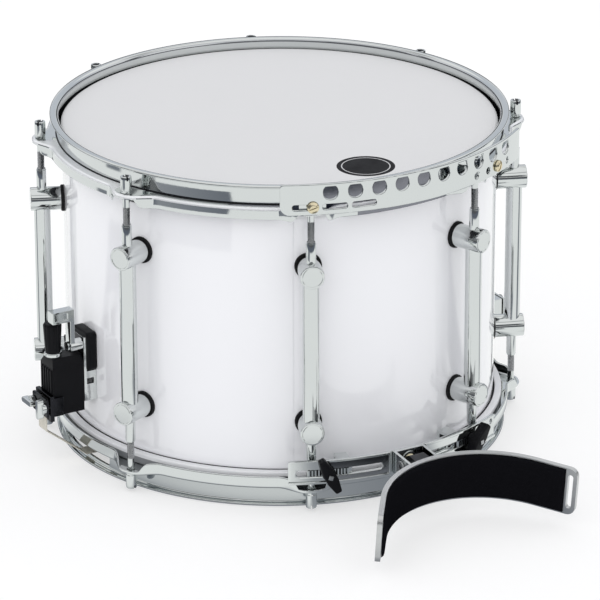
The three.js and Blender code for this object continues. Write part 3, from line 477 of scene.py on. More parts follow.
def metal(*look, metallic=1.0, **more):
    return plainMaterial(*look, **more, sockets={"Metallic": metallic})


def dullMaterial(*look, specular):
    return plainMaterial(*look, sockets={"Specular IOR Level": specular})


def gradedMetal(name, colour, end, low, high, *look):
    # the colour at the upper height passes into another at the lower one, for painted shade that changes with
    # height
    material, tree, shader, where = newMaterial(name, colour, *look, sockets={"Metallic": 1.0})
    up = addNode(tree, "ShaderNodeSeparateXYZ", {0: where}).outputs["Z"]
    tone = shader.inputs["Base Color"].links[0].from_socket
    share = mapRange(tree, up, low, high, kind="SMOOTHSTEP")
    feed(tree, shader.inputs["Base Color"], mixColour(tree, share, (*end, 1), tone))
    return material


whiteWrap = plainMaterial(
    "whiteWrap", (0.92, 0.922, 0.943), (6, 0.012), (8, 0.05, 0.09), (300, 0.5, 0.00002),
    sockets={"Coat Weight": 1.0, "Coat Roughness": 0.03},
)
mapleInside = plainMaterial(
    "mapleInside", (0.55, 0.36, 0.2), (30, 0.25), (30, 0.4, 0.55), (900, 0.4, 0.00006), stretch=(1, 1, 0.12),
)
headFilm = plainMaterial(
    "headFilm", (0.748, 0.748, 0.752), (14, 0.015), (30, 0.5, 0.62), (1600, 0.6, 0.00012),
)
hazyFilm = plainMaterial(
    "hazyFilm", (0.8, 0.8, 0.8), (14, 0.02), (20, 0.15, 0.25), (500, 0.6, 0.00003), sockets={"Alpha": 0.35},
)
collarFilm = dullMaterial(
    "collarFilm", (0.02, 0.02, 0.024), (60, 0.2), (60, 0.5, 0.65), (900, 0.3, 0.00004), specular=0.15,
)
markPaint = dullMaterial(
    "markPaint", (0.012, 0.012, 0.014), (200, 0.15), (60, 0.4, 0.55), (1400, 0.3, 0.00004), specular=0.08,
)
markRing = plainMaterial("markRing", (0.6, 0.6, 0.61), (200, 0.05), (60, 0.45, 0.6), (1400, 0.3, 0.00004))
blackRubber = dullMaterial(
    "blackRubber", (0.012, 0.012, 0.013), (200, 0.2), (60, 0.45, 0.6), (1200, 0.3, 0.00006), specular=0.12,
)
blackPlastic = dullMaterial(
    "blackPlastic", (0.006, 0.0062, 0.0078), (120, 0.2), (50, 0.32, 0.45), (1500, 0.2, 0.00005),
    specular=0.12,
)
chrome = metal("chrome", (0.68, 0.705, 0.7), (30, 0.03), (25, 0.035, 0.08), (400, 0.5, 0.00001))
# painted highlight: a paler, hazier copy of chrome for the hoop's bend and the flange at the far left
softChrome = metal(
    "softChrome", (0.95, 0.96, 0.975), (30, 0.03), (25, 0.3, 0.36), (400, 0.5, 0.00001), metallic=0.5,
)
shadedChrome = metal("shadedChrome", (0.24, 0.245, 0.275), (30, 0.05), (25, 0.1, 0.2), (400, 0.5, 0.00001))
# black chrome, the clamps' own finish, also put on corners and inner faces as painted shade
blackChrome = metal("blackChrome", (0.03, 0.031, 0.036), (120, 0.3), (60, 0.12, 0.22), (700, 0.3, 0.00003))
brass = metal("brass", (0.8, 0.71, 0.5), (300, 0.12), (200, 0.15, 0.3), (600, 0.3, 0.00004))
satinAluminium = metal(
    "satinAluminium", (0.62, 0.63, 0.63), (60, 0.06), (30, 0.28, 0.4), (500, 0.3, 0.00003),
    stretch=(1, 1, 8),
)
rodSteel = metal("rodSteel", (0.42, 0.43, 0.44), (300, 0.15), (200, 0.2, 0.35), (900, 0.3, 0.00003))
# painted shade for the sling rail's back
backSteel = metal("backSteel", (0.16, 0.18, 0.225), (80, 0.15), (60, 0.3, 0.4), (700, 0.3, 0.00003))
wireSteel = metal("wireSteel", (0.6, 0.6, 0.6), (400, 0.1), (200, 0.2, 0.3), (900, 0.3, 0.00003))
# painted shade: near-black metal put where shade falls, in recesses, between parts and on the flesh hoops
darkRing = metal(
    "darkRing", (0.05, 0.052, 0.058), (80, 0.3), (60, 0.3, 0.45), (700, 0.3, 0.00004), metallic=0.8,
)
# painted light: the flesh hoops' pale faces, where they are lit
paleRing = plainMaterial("paleRing", (0.88, 0.885, 0.9), (80, 0.05), (60, 0.3, 0.45), (700, 0.3, 0.00004))
shadedRing = plainMaterial("shadedRing", (0.3, 0.31, 0.325), (80, 0.15), (60, 0.35, 0.5), (700, 0.3, 0.00004))
# painted shade: the hoop's inner wall darkens downwards
hoopInnerShade = gradedMetal(
    "hoopInnerShade", (0.6, 0.62, 0.64), (0.012, 0.012, 0.015),
    level(drum["height"] + 0.0005), level(drum["height"] + 0.0085), (30, 0.03), (25, 0.06, 0.12),
    (400, 0.5, 0.00001),
)
shadedChannel = gradedMetal(
    "shadedChannel", (0.07, 0.075, 0.085), (0.42, 0.43, 0.44),
    level(0.019), level(0.037), (60, 0.05), (40, 0.15, 0.25), (500, 0.4, 0.00002),
)


def makeFeltMaterial():
    # black felt with a soft nap and a few pale specks of lint
    f = {"scale": 260, "edge": (0.07, 0.05), "few": 0.93, "lint": (0.2, 0.2, 0.21, 1)}
    material, tree, shader, where = newMaterial(
        "blackFelt", (0.0085, 0.0085, 0.0105), (500, 0.4), (100, 0.85, 1.0), (2200, 0.5, 0.0006),
        sockets={"Specular IOR Level": 0.0},
    )
    dots = addNode(tree, "ShaderNodeTexVoronoi", {"Vector": where, "Scale": f["scale"]}).outputs
    near = mapRange(tree, dots["Distance"], *f["edge"])
    speck = maths(tree, "MULTIPLY", near, maths(tree, "GREATER_THAN", dots["Color"], f["few"]))
    tone = shader.inputs["Base Color"].links[0].from_socket
    feed(tree, shader.inputs["Base Color"], mixColour(tree, speck, tone, f["lint"]))
    return material


def makeWebbingMaterial():
    # a woven strap: fine slanting ribs over the grain
    w = {"scale": 260, "deep": 0.0003}
    material, tree, shader, where = newMaterial(
        "webbing", (0.74, 0.71, 0.62), (900, 0.12), (100, 0.7, 0.9), (1500, 0.4, 0.0001),
    )
    ribs = {"Vector": where, "Scale": w["scale"]}
    weave = addNode(tree, "ShaderNodeTexWave", ribs, bands_direction="DIAGONAL").outputs["Fac"]
    grain = shader.inputs["Normal"].links[0].from_socket
    feeds = {"Height": weave, "Distance": w["deep"], "Normal": grain}
    feed(tree, shader.inputs["Normal"], addNode(tree, "ShaderNodeBump", feeds).outputs["Normal"])
    return material


blackFelt = makeFeltMaterial()
webbing = makeWebbingMaterial()
print("materials made")


# Shell

def makeShell():
    s = {"edgeLand": 0.0029, "softEdge": 0.0034, "landSoft": 0.0004, "boreSoft": 0.001, "wrapEnd": 0.0012,
         "sides": 240, "besidePost": 0.0045, "hole": 0.0029, "drill": 0.03, "seamAngle": -26.2,
         "seamWidth": 0.0008, "seamDepth": 0.0006}
    outer, height, wall = drum["radius"], drum["height"], drum["wall"]
    bore, land, slope = outer - wall, outer - s["edgeLand"], wall - s["edgeLand"]
    posts = [height / 2 + side * drum["postRise"] for side in (-1, 1)]
    rings = sorted(post + edge * s["besidePost"] for post in posts for edge in (-1, 1))
    profile = softCorners([
        (land, 0, s["landSoft"]), (outer, 0, s["softEdge"]), *[(outer, h, 0) for h in rings],
        (outer, height, s["softEdge"]), (land, height, s["landSoft"]), (bore, height - slope, s["boreSoft"]),
        *[(bore, h, 0) for h in reversed(rings)], (bore, slope, s["boreSoft"]),
    ])
    shell = turned("shellWrapped", [(r, level(h)) for r, h in profile], s["sides"], closed=True)
    cutters = [
        place(roundCutter(24, s["hole"], s["drill"]), station(angle, bore, post) @ outwards)
        for angle in lugAngles for post in posts
    ]
    seam = boxCutter(2 * s["seamDepth"], s["seamWidth"], height * 1.1)
    cutters.append(place(seam, station(s["seamAngle"], outer, height / 2)))
    combine(shell, joined("shellCutters", *cutters))
    dress(shell, whiteWrap, mapleInside)
    markFaces(shell, lambda face: fromAxis(face.center) < outer - s["wrapEnd"])
    settle(smooth(shell, 25), "drum", "shell", "shell")


makeShell()
print("shell modelled")


# Heads and their flesh hoops

skin = {
    "in": 0.1781, "out": 0.1785, "low": -0.0199, "under": 0.0003, "top": 0.0007, "sides": 240,
    "innerArc": 0.0037, "outerArc": 0.0041, "beside": 0.0052, "collar": -0.0004,
}
# angles and heights where the flesh hoops are painted lit or shaded
ringShade = {"pale": (-30, -14), "paleAbove": 0.0162, "shadedUpTo": -45}


def makeHead(name, end, film, node):
    h = skin
    flat = h["in"] - h["beside"]
    profile = softCorners([
        (0, h["under"], 0), (flat, h["under"], 0), (h["in"], h["under"], h["innerArc"]),
        (h["in"], h["low"], 0), (h["out"], h["low"], 0), (h["out"], h["top"], h["outerArc"]),
        (flat, h["top"], 0), (0, h["top"], 0),
    ], closed=False, steps=6)
    head = turned(name, profile, h["sides"])
    # painted shade on the film's collar, low in the trough under the flesh hoop
    dress(head, film, collarFilm)
    points = head.data.vertices
    markFaces(head, lambda face: max(points[i].co.z for i in face.vertices) < h["collar"])
    settle(smooth(place(head, end), 40), "drum", "head_film", node)


def batterRingShade(face):
    return ringShade["pale"][0] < relative(face.center) < ringShade["pale"][1]


def snareRingShade(face):
    if face.center.z > level(ringShade["paleAbove"]):
        return 1
    return 2 if relative(face.center) < ringShade["shadedUpTo"] else 0


def makeFleshHoop(name, end, node, shade):
    f = {"in": 0.1788, "out": 0.1846, "low": -0.0199, "lip": -0.0162, "high": -0.0102, "soft": 0.001,
         "sides": 240}
    ring = turned(name, softCorners([
        (f["in"], f["low"], f["soft"]), (f["out"], f["low"], f["soft"]), (f["out"], f["lip"], 0),
        (f["out"], f["high"], f["soft"]), (f["in"], f["high"], f["soft"]),
    ], steps=3), f["sides"], closed=True)
    place(ring, end)
    smooth(dress(ring, darkRing, paleRing, shadedRing), 40)
    # painted light and shade: the ring is near black, pale where lit, mid grey where shaded on the snare side
    markFaces(ring, shade)
    settle(ring, "drum", "aluminium", node)


def makeHeadMark():
    # a plain dark round mark with one pale ring, printed near the front of the batter head
    m = {"radius": 0.0232, "thick": 0.00006, "angle": 0.2, "out": 0.137, "ringOut": 0.0196, "ringIn": 0.0187,
         "sides": 96}
    spot = station(m["angle"], m["out"], drum["height"]) @ shift(0, 0, skin["top"])
    thick, low, high = m["thick"], 0.5 * m["thick"], 2 * m["thick"]
    disc = turned("headMark", [(0, 0), (m["radius"], 0), (m["radius"], thick), (0, thick)], m["sides"])
    band = turned("headMarkRing", [
        (m["ringIn"], low), (m["ringOut"], low), (m["ringOut"], high), (m["ringIn"], high),
    ], m["sides"], closed=True)
    for piece, paint in ((disc, markPaint), (band, markRing)):
        settle(dress(smooth(place(piece, spot)), paint), "drum", "head_film")


makeHead("batterFilm", batterEnd, headFilm, "batter_head")
makeHead("snareFilm", snareEnd, hazyFilm, "snare_head")
makeFleshHoop("batterRing", batterEnd, "batter_flesh_hoop", batterRingShade)
makeFleshHoop("snareRing", snareEnd, "snare_flesh_hoop", snareRingShade)
makeHeadMark()
print("heads modelled")


# Hoops

hoop = {
    "wallIn": 0.18, "wallOut": 0.182, "rimOut": 0.1872, "rimTop": 0.0093, "rimUnder": 0.0073,
    "rimFall": 0.0007, "rimBend": 0.0036, "flangeTop": -0.0077, "flangeUnder": -0.0099, "skirtIn": 0.188,
    "skirtOut": 0.19, "skirtEnd": -0.018, "bend": 0.0044, "thick": 0.002, "soft": 0.0009,
    "underSoft": 0.0017, "footSoft": 0.0016, "sides": 720, "rodHole": 0.0037, "drill": 0.02,
    "earReach": 0.0123, "earFlat": 0.003, "earEnd": 0.027, "pushFrom": 0.001, "liftFrom": 0.003,
    "skirtOpen": 0.0112, "skirtFull": 0.0166, "lipShare": 0.1,
    "gateDrop": 0.0066, "gateRise": 0.004, "gateAngle": 10.6, "gateOut": 0.179, "gateDeep": 0.012,
    "gateCorner": 0.002, "gateEdge": 0.0005,
}
# where the batter hoop gets painted shade and painted highlight
hoopShade = {
    "rail": (-19, 14), "skirtFrom": -11, "flangeFrom": -42, "pale": (-110, -71),  # angles
    "bent": 10, "flat": 86,  # tilts of a face, 90 for one that looks straight up
    "inner": 0.0012, "cornerOut": 0.0013, "cornerUp": 0.0016, "wallFoot": 0.0005, "wallTop": 0.0012,
    "slack": 0.0001,
}


def shapeEars(obj):
    # bulges the flange out to an ear at each rod and lifts the skirt's ends up to it
    h, step = hoop, drum["lugStep"]
    for vertex in obj.data.vertices:
        x, y, z = vertex.co
        radius = fromAxis(vertex.co)
        angle = math.degrees(math.atan2(y, x))
        off = (angle - drum["firstLug"] + step / 2) % step - step / 2
        aside = abs(math.radians(off)) * drum["rodCircle"]
        bulge = h["earReach"] * (1 - smoothStep(h["earFlat"], h["earEnd"], aside))
        push = bulge * smoothStep(h["wallOut"] + h["pushFrom"], h["skirtIn"], radius) * (z < 0)
        if z < h["flangeUnder"] and radius > h["wallOut"] + h["liftFrom"]:
            share = min(1.0, max(0.0, (aside - h["skirtOpen"]) / (h["skirtFull"] - h["skirtOpen"])))
            keep = max(h["lipShare"], math.sqrt(share * (2 - share)))
            vertex.co.z = h["flangeUnder"] + (z - h["flangeUnder"]) * keep
        vertex.co.x = x * (1 + push / radius)
        vertex.co.y = y * (1 + push / radius)


def batterHoopShade(face):
    # painted shade: the inner wall darkens downwards, the flange's corner is dark, and the sling rail shades
    # what it covers
    h, s = hoop, hoopShade
    out, angle = fromAxis(face.center), relative(face.center)
    up = face.center.z - level(drum["height"])
    overFlange, bendLow = up - h["flangeTop"], h["flangeTop"] - h["bend"]
    tilt = math.degrees(math.asin(max(-1.0, min(1.0, face.normal.z))))
    onFlange = tilt > s["flat"] and abs(overFlange) < 2 * s["slack"]
    onWall = s["wallFoot"] < overFlange and up < h["rimTop"] - s["wallTop"]
    onSkirt = up < bendLow and angle > s["skirtFrom"]
    atBend = s["bent"] < tilt < s["flat"] and bendLow < up < h["flangeTop"]
    behindRail = s["rail"][0] < angle < s["rail"][1] and out > h["wallOut"] - 3 * s["slack"]
    # painted shade on the inner wall
    if out < h["wallIn"] + s["inner"] and up > 0:
        return 1
    # painted shade in the flange's corner
    if h["wallOut"] - s["slack"] < out < h["wallOut"] + s["cornerOut"] and 0 < overFlange < s["cornerUp"]:
        return 3
    # painted shade on the flange towards the rail and on what the rail covers
    if onFlange and s["flangeFrom"] < angle < s["rail"][1] or behindRail and (onWall or onSkirt):
        return 2
    # painted highlight on the flange at the far left and on the bend
    if onFlange and s["pale"][0] < angle < s["pale"][1] or atBend and out > h["skirtIn"] - h["bend"]:
        return 4
    return 0


def makeHoop(name, end, gates, node):
    h = hoop
    across = [h["wallOut"] + (h["skirtIn"] - h["wallOut"]) * k / 6 for k in (2, 2.7, 3.3)]
    ring = turned(name, softCorners([
        (h["wallIn"], h["flangeUnder"], h["footSoft"]), *[(r, h["flangeUnder"], 0) for r in across],
        (h["skirtIn"], h["flangeUnder"], h["bend"] - h["thick"]), (h["skirtIn"], h["skirtEnd"], h["soft"]),
        (h["skirtOut"], h["skirtEnd"], h["soft"]), (h["skirtOut"], h["flangeTop"], h["bend"]),
        *[(r, h["flangeTop"], 0) for r in reversed(across)],
        (h["wallOut"], h["flangeTop"], h["footSoft"]), (h["wallOut"], h["rimUnder"], h["underSoft"]),
        (h["rimOut"], h["rimUnder"] - h["rimFall"], h["soft"]),
        (h["rimOut"], h["rimTop"] - h["rimFall"], h["soft"]), (h["wallIn"], h["rimTop"], h["rimBend"]),
    ], steps=4), h["sides"], closed=True)
    shapeEars(ring)
    cutters = []
    for angle in lugAngles:
        hole = roundCutter(32, h["rodHole"], h["drill"])
        cutters.append(place(hole, turn(angle) @ shift(drum["rodCircle"], 0, h["flangeTop"])))
    for half in (180, 0) if gates else ():
        width = 2 * h["wallOut"] * math.sin(math.radians(h["gateAngle"]))
        outline = boxOutline(0, 0, width, h["gateRise"] + h["gateDrop"], h["gateCorner"])
        gate = plate("gate", outline, h["gateDeep"], h["gateEdge"])
        middle = (h["gateRise"] - h["gateDrop"]) / 2
        cutters.append(place(gate, turn(half) @ shift(h["gateOut"], 0, middle) @ outwards))
    combine(ring, joined("hoopCutters", *cutters))
    place(ring, end)
    smooth(dress(ring, chrome, hoopInnerShade, shadedChrome, blackChrome, softChrome), 35)
    if not gates:
        markFaces(ring, batterHoopShade)
    settle(ring, "drum", "chrome", node)


makeHoop("batterHoopPressed", batterEnd, False, "batter_hoop")
makeHoop("snareHoopPressed", snareEnd, True, "snare_hoop")
print("hoops modelled")


# Tension rods

def makeRods():
    r = {"shank": 0.0028, "root": 0.00245, "length": 0.052, "head": 0.0045, "headTall": 0.0136,
         "plain": 0.0125, "pitch": 0.0008, "slotWide": 0.0015, "slotDeep": 0.003, "turnStep": 37,
         "step": 0.0004, "neckTall": 0.0016, "shoulder": 0.0022, "crown": 0.0003, "recess": 0.0026,
         "slotLong": 0.02, "neckSoft": 0.0002, "headSoft": 0.0003, "crownSoft": 0.0006, "dipSoft": 0.0001,
         "slack": 0.0001}
    threads = []
    down = -r["plain"]
    while down > -r["length"] + r["pitch"]:
        threads += [(r["shank"], down), (r["root"], down - r["pitch"] / 2)]
        down -= r["pitch"]
    top, neck, dip = r["headTall"], r["head"] - r["step"], r["headTall"] - r["step"]
    headProfile = softCorners([
        (r["shank"], 0, 0), (neck, 0, r["neckSoft"]), (neck, r["neckTall"], r["neckSoft"]),
        (r["head"], r["shoulder"], r["headSoft"]), (r["head"], top - r["shoulder"], r["headSoft"]),
        (r["head"] - r["crown"], top, r["crownSoft"]), (r["recess"], top, r["neckSoft"]),
        (r["recess"], dip, r["dipSoft"]), (0, dip, 0),
    ], closed=False, steps=3)
    rod = turned("rodPattern", [
        (0, -r["length"]), (r["root"], -r["length"]), *reversed(threads),
        (r["shank"], r["step"] - r["plain"]), *headProfile,
    ], 24)
    combine(rod, place(boxCutter(r["slotLong"], r["slotWide"], 2 * r["slotDeep"]), shift(0, 0, top)))

    def shade(face):
        # plain steel on the threads, painted shade in the recess and the slot
        slack, down = r["slack"], top - face.center.z
        if face.center.z < -r["plain"] + r["step"] + slack:
            return 1
        inSlot = abs(face.center.y) < r["slotWide"] / 2 + slack / 2
        inRecess = fromAxis(face.center) < r["recess"] + slack
        return 2 if slack < down < r["slotDeep"] + slack and (inRecess or inSlot) else 0

    dress(rod, chrome, rodSteel, darkRing)
    markFaces(rod, shade)
    smooth(rod, 40)
    for end in ("batter", "snare"):
        for i in range(1, 9):
            node = f"{end}_rod_{i}"
            low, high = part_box(node)
            middle = (low + high) / 2
            seat = high.z - r["headTall"] if end == "batter" else low.z + r["headTall"]
            where = shift(middle.x, middle.y, seat) @ turn(0 if end == "batter" else 180, "X")
            piece = place(copyPiece(rod, f"{end}Rod{i}"), where @ turn(r["turnStep"] * i))
            settle(piece, node, "rod_steel", node)
    discard(rod)


makeRods()
print("tension rods modelled")


# Tube lugs with their gaskets and inner screws

def makeLugs():
    g = {"post": 0.00965, "from": 0.18, "to": 0.205, "tube": 0.0067, "sleeve": 0.004, "sleeveEnd": 0.09285,
         "step": 0.0004, "neckTall": 0.0012, "bore": 0.0031, "drill": 0.3, "stud": 0.0025, "studIn": 0.0095,
         "faceRing": 0.0079, "faceWide": 0.0003, "faceGroove": 0.0002,
         "endSoft": 0.0003, "neckSoft": 0.0001, "stepSoft": 0.0002, "postSoft": 0.0005, "faceSoft": 0.0007,
         "gasket": 0.0109, "gasketHole": 0.003, "gasketSoft": 0.0008, "gasketDeep": 0.0018,
         "backShare": 0.8, "onShell": 0.00005}
    rise, axis, length = drum["postRise"], drum["rodCircle"], g["to"] - g["from"]
    neck, neckOut = g["sleeveEnd"] - g["neckTall"], g["sleeve"] - g["step"]
    sleeve, endSoft, neckSoft, stepSoft = (g[key] for key in ("sleeve", "endSoft", "neckSoft", "stepSoft"))
    body = turned("lugPattern", softCorners([
        (0, -g["sleeveEnd"], 0), (neckOut, -g["sleeveEnd"], endSoft), (neckOut, -neck, neckSoft),
        (sleeve, -neck, stepSoft), (sleeve, -rise, 0), (g["tube"], -rise, 0), (g["tube"], rise, 0),
        (sleeve, rise, 0), (sleeve, neck, stepSoft), (neckOut, neck, neckSoft),
        (neckOut, g["sleeveEnd"], endSoft), (0, g["sleeveEnd"], 0),
    ], closed=False, steps=2), 48)
    place(body, shift(axis, 0, 0))
    post = turnedOutwards("post", softCorners([
        (0, -g["studIn"], 0), (g["stud"], -g["studIn"], endSoft), (g["stud"], 0, 0),
        (g["post"], 0, g["postSoft"]), (g["post"], length, g["faceSoft"]),
        (g["faceRing"] + g["faceWide"], length, 0), (g["faceRing"], length - g["faceGroove"], 0),
        (g["faceRing"] - g["faceWide"], length, 0), (0, length, 0),
    ], closed=False, steps=3), 64, g["from"])
    for z in (-rise, rise):
        combine(body, place(copyPiece(post, "postCopy"), shift(0, 0, z)), "UNION")
    combine(body, place(roundCutter(32, g["bore"], g["drill"]), shift(axis, 0, 0)))
    smooth(dress(body, chrome), 30)

    gasket = turnedOutwards("gasketPattern", softCorners([
        (g["gasketHole"], -g["gasketDeep"], 0), (g["gasket"], -g["gasketDeep"], 0),
        (g["gasket"], 0, g["gasketSoft"]), (g["gasketHole"], 0, 0),
    ], steps=4), 64, g["from"], closed=True)
    for vertex in gasket.data.vertices:
        if vertex.co.x < g["from"] - g["backShare"] * g["gasketDeep"]:
            vertex.co.x = math.sqrt(drum["radius"] ** 2 - vertex.co.y ** 2) + g["onShell"]
    smooth(dress(gasket, blackRubber), 35)

    # the screw and washer inside the shell; the shoulder is (radius, place, rounding)
    n = {"dome": 0.0028, "shoulder": (0.0036, -0.0024, 0.0012), "head": 0.0045, "headSoft": 0.0002,
         "seat": 0.0013, "washer": 0.0085, "washerIn": 0.0012, "washerOut": 0.0004, "washerSoft": 0.0003}
    bore, ring, soft = drum["radius"] - drum["wall"], n["washer"], n["washerSoft"]
    screw = turnedOutwards("innerScrew", softCorners([
        (0, -n["dome"], 0), n["shoulder"], (n["head"], 0, n["headSoft"]), (0, 0, 0),
    ], closed=False, steps=3), 24, bore - n["seat"])
    washer = turnedOutwards("innerWasher", softCorners([
        (0, -n["washerIn"], 0), (ring, -n["washerIn"], soft), (ring, n["washerOut"], soft),
        (0, n["washerOut"], 0),
    ], closed=False, steps=2), 32, bore)
    fastener = joined("innerFastener", screw, washer)
    smooth(dress(fastener, rodSteel), 35)

    fasteners = []
    for i, angle in enumerate(lugAngles, 1):
        lug = place(copyPiece(body, f"tubeLug{i}"), station(angle, 0, drum["height"] / 2))
        settle(lug, "drum", "chrome", f"tube_lug_{i}")
        for side, end in ((1, "Top"), (-1, "Low")):
            spot = station(angle, 0, drum["height"] / 2 + side * rise)
            settle(place(copyPiece(gasket, f"gasket{end}{i}"), spot), "drum", "black_plastic")
            fasteners.append(place(copyPiece(fastener, "fastener"), spot))
    settle(joined("innerFasteners", *fasteners), "drum", "rod_steel")
    discard(post, body, gasket, fastener)


makeLugs()
print("lugs modelled")


# Sling rail, its brackets and brass screws

strip = {"in": 0.2028, "out": 0.205, "bendStep": 0.0025}  # both rails are bent from it
stripRadius = (strip["in"] + strip["out"]) / 2


def along(angle):
    return math.radians(angle) * stripRadius  # an angle as a length on the flat strip


def slottedScrew(name, radius, height, shank, shankLength):
    # a pan-head screw along Z, its head standing on z = 0
    s = {"slotWide": 0.0012, "slotDeep": 0.001, "brimShare": 0.55, "soft": 0.0002, "brimSoftShare": 0.5,
         "crownSoftShare": 0.4, "sides": 40}
    brim, brimSoft, crownSoft = s["brimShare"], height * s["brimSoftShare"], height * s["crownSoftShare"]
    screw = turned(name, softCorners([
        (0, -shankLength, 0), (shank, -shankLength, s["soft"]), (shank, 0, 0), (radius, 0, s["soft"]),
        (radius, height * brim, brimSoft), (radius * brim, height, crownSoft), (0, height, 0),
    ], closed=False, steps=4), s["sides"])
    combine(screw, place(boxCutter(4 * radius, s["slotWide"], 2 * s["slotDeep"]), shift(0, 0, height)))
    return smooth(screw)


def pressedStrip(name, outline, edge, holes, raised=()):
    # a flat strip with its holes and raised plates, stood up (its outer face to -Y) and bent round the drum
    rail = plate(name, outline, strip["out"] - strip["in"], edge, 3, holes)
    for lip in raised:
        combine(rail, lip, "UNION")
    place(rail, turn(90, "X"))
    return bentRound(rail, stripRadius, strip["bendStep"])


def makeSlingRail():
    s = {"from": -29.6, "to": 39.8, "low": 0.245, "high": 0.2705, "cornerLarge": 0.008, "corner": 0.003,
         "edge": 0.0007, "holeFirst": -18.5, "holeStep": 5.55, "holes": 10, "holeHeight": 0.2635,
         "holeRadius": 0.006, "holeFlat": 0.0044, "holeSides": 20, "slotFirst": -24.1, "slotStep": 6.6,
         "slots": 3, "slotLong": 0.02, "slotTall": 0.0042, "slotSoftShare": 0.49, "slotHeight": 0.2516,
         "eyes": (19.6, 23.9, 32.3), "eye": 0.0026, "backFacing": -0.5, "bracketBevel": 0.0004,
         "screws": (("left", -22.4, 20), ("right", 27.7, 65)),  # side, angle and turn
         "screwHole": 0.0021, "screwOut": 0.0003,
         "screw": (0.00475, 0.0026, 0.0017, 0.004)}  # head radius and height, shank radius and length
    start, end = along(s["from"]), along(s["to"])
    middle = (start + end) / 2
    outline = softCorners([
        (start, s["low"], s["cornerLarge"]), (end, s["low"], s["corner"]),
        (end, s["high"], s["corner"]), (start, s["high"], s["corner"]),
    ], steps=8)
    holes = []
    flat = math.asin(s["holeFlat"] / s["holeRadius"])
    sweep = [math.pi - flat + (math.pi + 2 * flat) * k / s["holeSides"] for k in range(s["holeSides"] + 1)]
    for i in range(s["holes"]):
        x, y, wide = along(s["holeFirst"] + i * s["holeStep"]), s["holeHeight"], s["holeRadius"]
        holes.append([(x + wide * math.cos(a), y + wide * math.sin(a)) for a in sweep])
    for i in range(s["slots"]):
        x = along(s["slotFirst"] + i * s["slotStep"])
        corner = s["slotTall"] * s["slotSoftShare"]
        holes.append(boxOutline(x, s["slotHeight"], s["slotLong"], s["slotTall"], corner, 6))
    for angle in s["eyes"]:
        holes.append(roundOutline(along(angle), s["slotHeight"], s["eye"]))
    holes.append(roundOutline(along(s["screws"][1][1]), s["slotHeight"], s["screwHole"], 16))
    outline, *holes = [[(x - middle, y) for x, y in ring] for ring in (outline, *holes)]
    rail = pressedStrip("slingRailPressed", outline, s["edge"], holes)
    place(rail, shift(0, 0, level(0)) @ turn(math.degrees(middle / stripRadius)))
    smooth(dress(rail, chrome, backSteel), 30)
    markFaces(rail, lambda face: facing(face) < s["backFacing"])  # painted shade on the drum's side
    settle(rail, "drum", "chrome", "sling_rail")
    for side in ("left", "right"):
        bracket = refined(f"rail_bracket_{side}", f"{side}RailBracket", s["bracketBevel"])
        settle(dress(bracket, chrome), "drum", "chrome", f"rail_bracket_{side}")
    screw = slottedScrew("railScrew", *s["screw"])
    for side, angle, twist in s["screws"]:
        spot = station(angle, strip["out"] + s["screwOut"], s["slotHeight"]) @ outwards @ turn(twist)
        piece = place(copyPiece(screw, f"{side}RailScrew"), spot)
        settle(dress(piece, brass), "drum", "brass", f"rail_screw_{side}")
    discard(screw)


makeSlingRail()
print("sling rail modelled")


# Leg-rest carrier: slotted channel, claws, wing screws, hinge bracket

def makeLegRail():
    s = {"lipOut": 0.2063, "low": 0.018, "high": 0.038, "end": 28,
         "corner": 0.003, "edge": 0.0004, "lipTall": 0.002, "lipDeep": 0.001, "lipSoft": 0.0006, "rib": 4.7,
         "ribWide": 0.0016, "ribSoft": 0.0008, "ribInner": 0.0012, "slotFrom": 7, "slotTo": 25.4,
         "slotTall": 0.0056, "slotHeight": 0.027, "eyeAngle": 26.6, "eye": 0.0022, "eyeHeight": 0.0328,
         "slotSoftShare": 0.98, "boltHole": 0.0024, "boltHeight": 0.029, "webFrom": -19, "webSlack": 0.0004,
         "webFacing": 0.9, "clawBevel": 0.0004}
    end, low, high = along(s["end"]), s["low"], s["high"]
    corners = ((-end, low), (end, low), (end, high), (-end, high))
    outline = softCorners([(x, y, s["corner"]) for x, y in corners])
    halfTall = s["slotTall"] / 2
    first, last = along(s["slotFrom"]) - halfTall, along(s["slotTo"]) + halfTall
    slot = (s["slotHeight"], last - first, s["slotTall"], halfTall * s["slotSoftShare"], 6)
    holes = [boxOutline(side * (first + last) / 2, *slot) for side in (-1, 1)]
    holes.append(roundOutline(along(s["eyeAngle"]), s["eyeHeight"], s["eye"]))
    holes.append(roundOutline(0, s["boltHeight"], s["boltHole"]))
    rib, deep = along(s["rib"]) - s["ribWide"] / 2, s["lipOut"] - strip["out"] + s["lipDeep"]
    inner, foot, head = rib + s["ribWide"], low + s["lipTall"], high - s["lipTall"]
    lips = []
    for side in (-1, 1):
        shape = softCorners([
            (rib, low, s["ribSoft"]), (end, low, s["corner"]), (end, foot, s["lipSoft"]),
            (inner, foot, s["ribInner"]), (inner, head, s["ribInner"]), (end, head, s["lipSoft"]),
            (end, high, s["corner"]), (rib, high, s["ribSoft"]),
        ])
        lip = plate("railLip", [(side * x, y) for x, y in shape], deep, s["edge"], 3)
        lips.append(place(lip, shift(0, 0, (s["lipOut"] - deep / 2) - stripRadius)))
    rail = pressedStrip("legRailPressed", outline, s["edge"], holes, lips)
    place(rail, shift(0, 0, level(0)))
    smooth(dress(rail, chrome, shadedChannel), 30)

    def onWeb(face):
        # painted shade on the channel's floor beside the left wing screw, darkest at its top
        inRange = s["webFrom"] < relative(face.center) < -s["rib"]
        onFloor = fromAxis(face.center) < strip["out"] + s["webSlack"]
        return inRange and onFloor and facing(face) > s["webFacing"]

    markFaces(rail, onWeb)
    settle(rail, "drum", "chrome", "leg_rest_rail")
    for side in ("left", "right"):
        claw = refined(f"claw_{side}", f"{side}Claw", s["clawBevel"])
        settle(dress(claw, chrome), "drum", "chrome", f"claw_{side}")


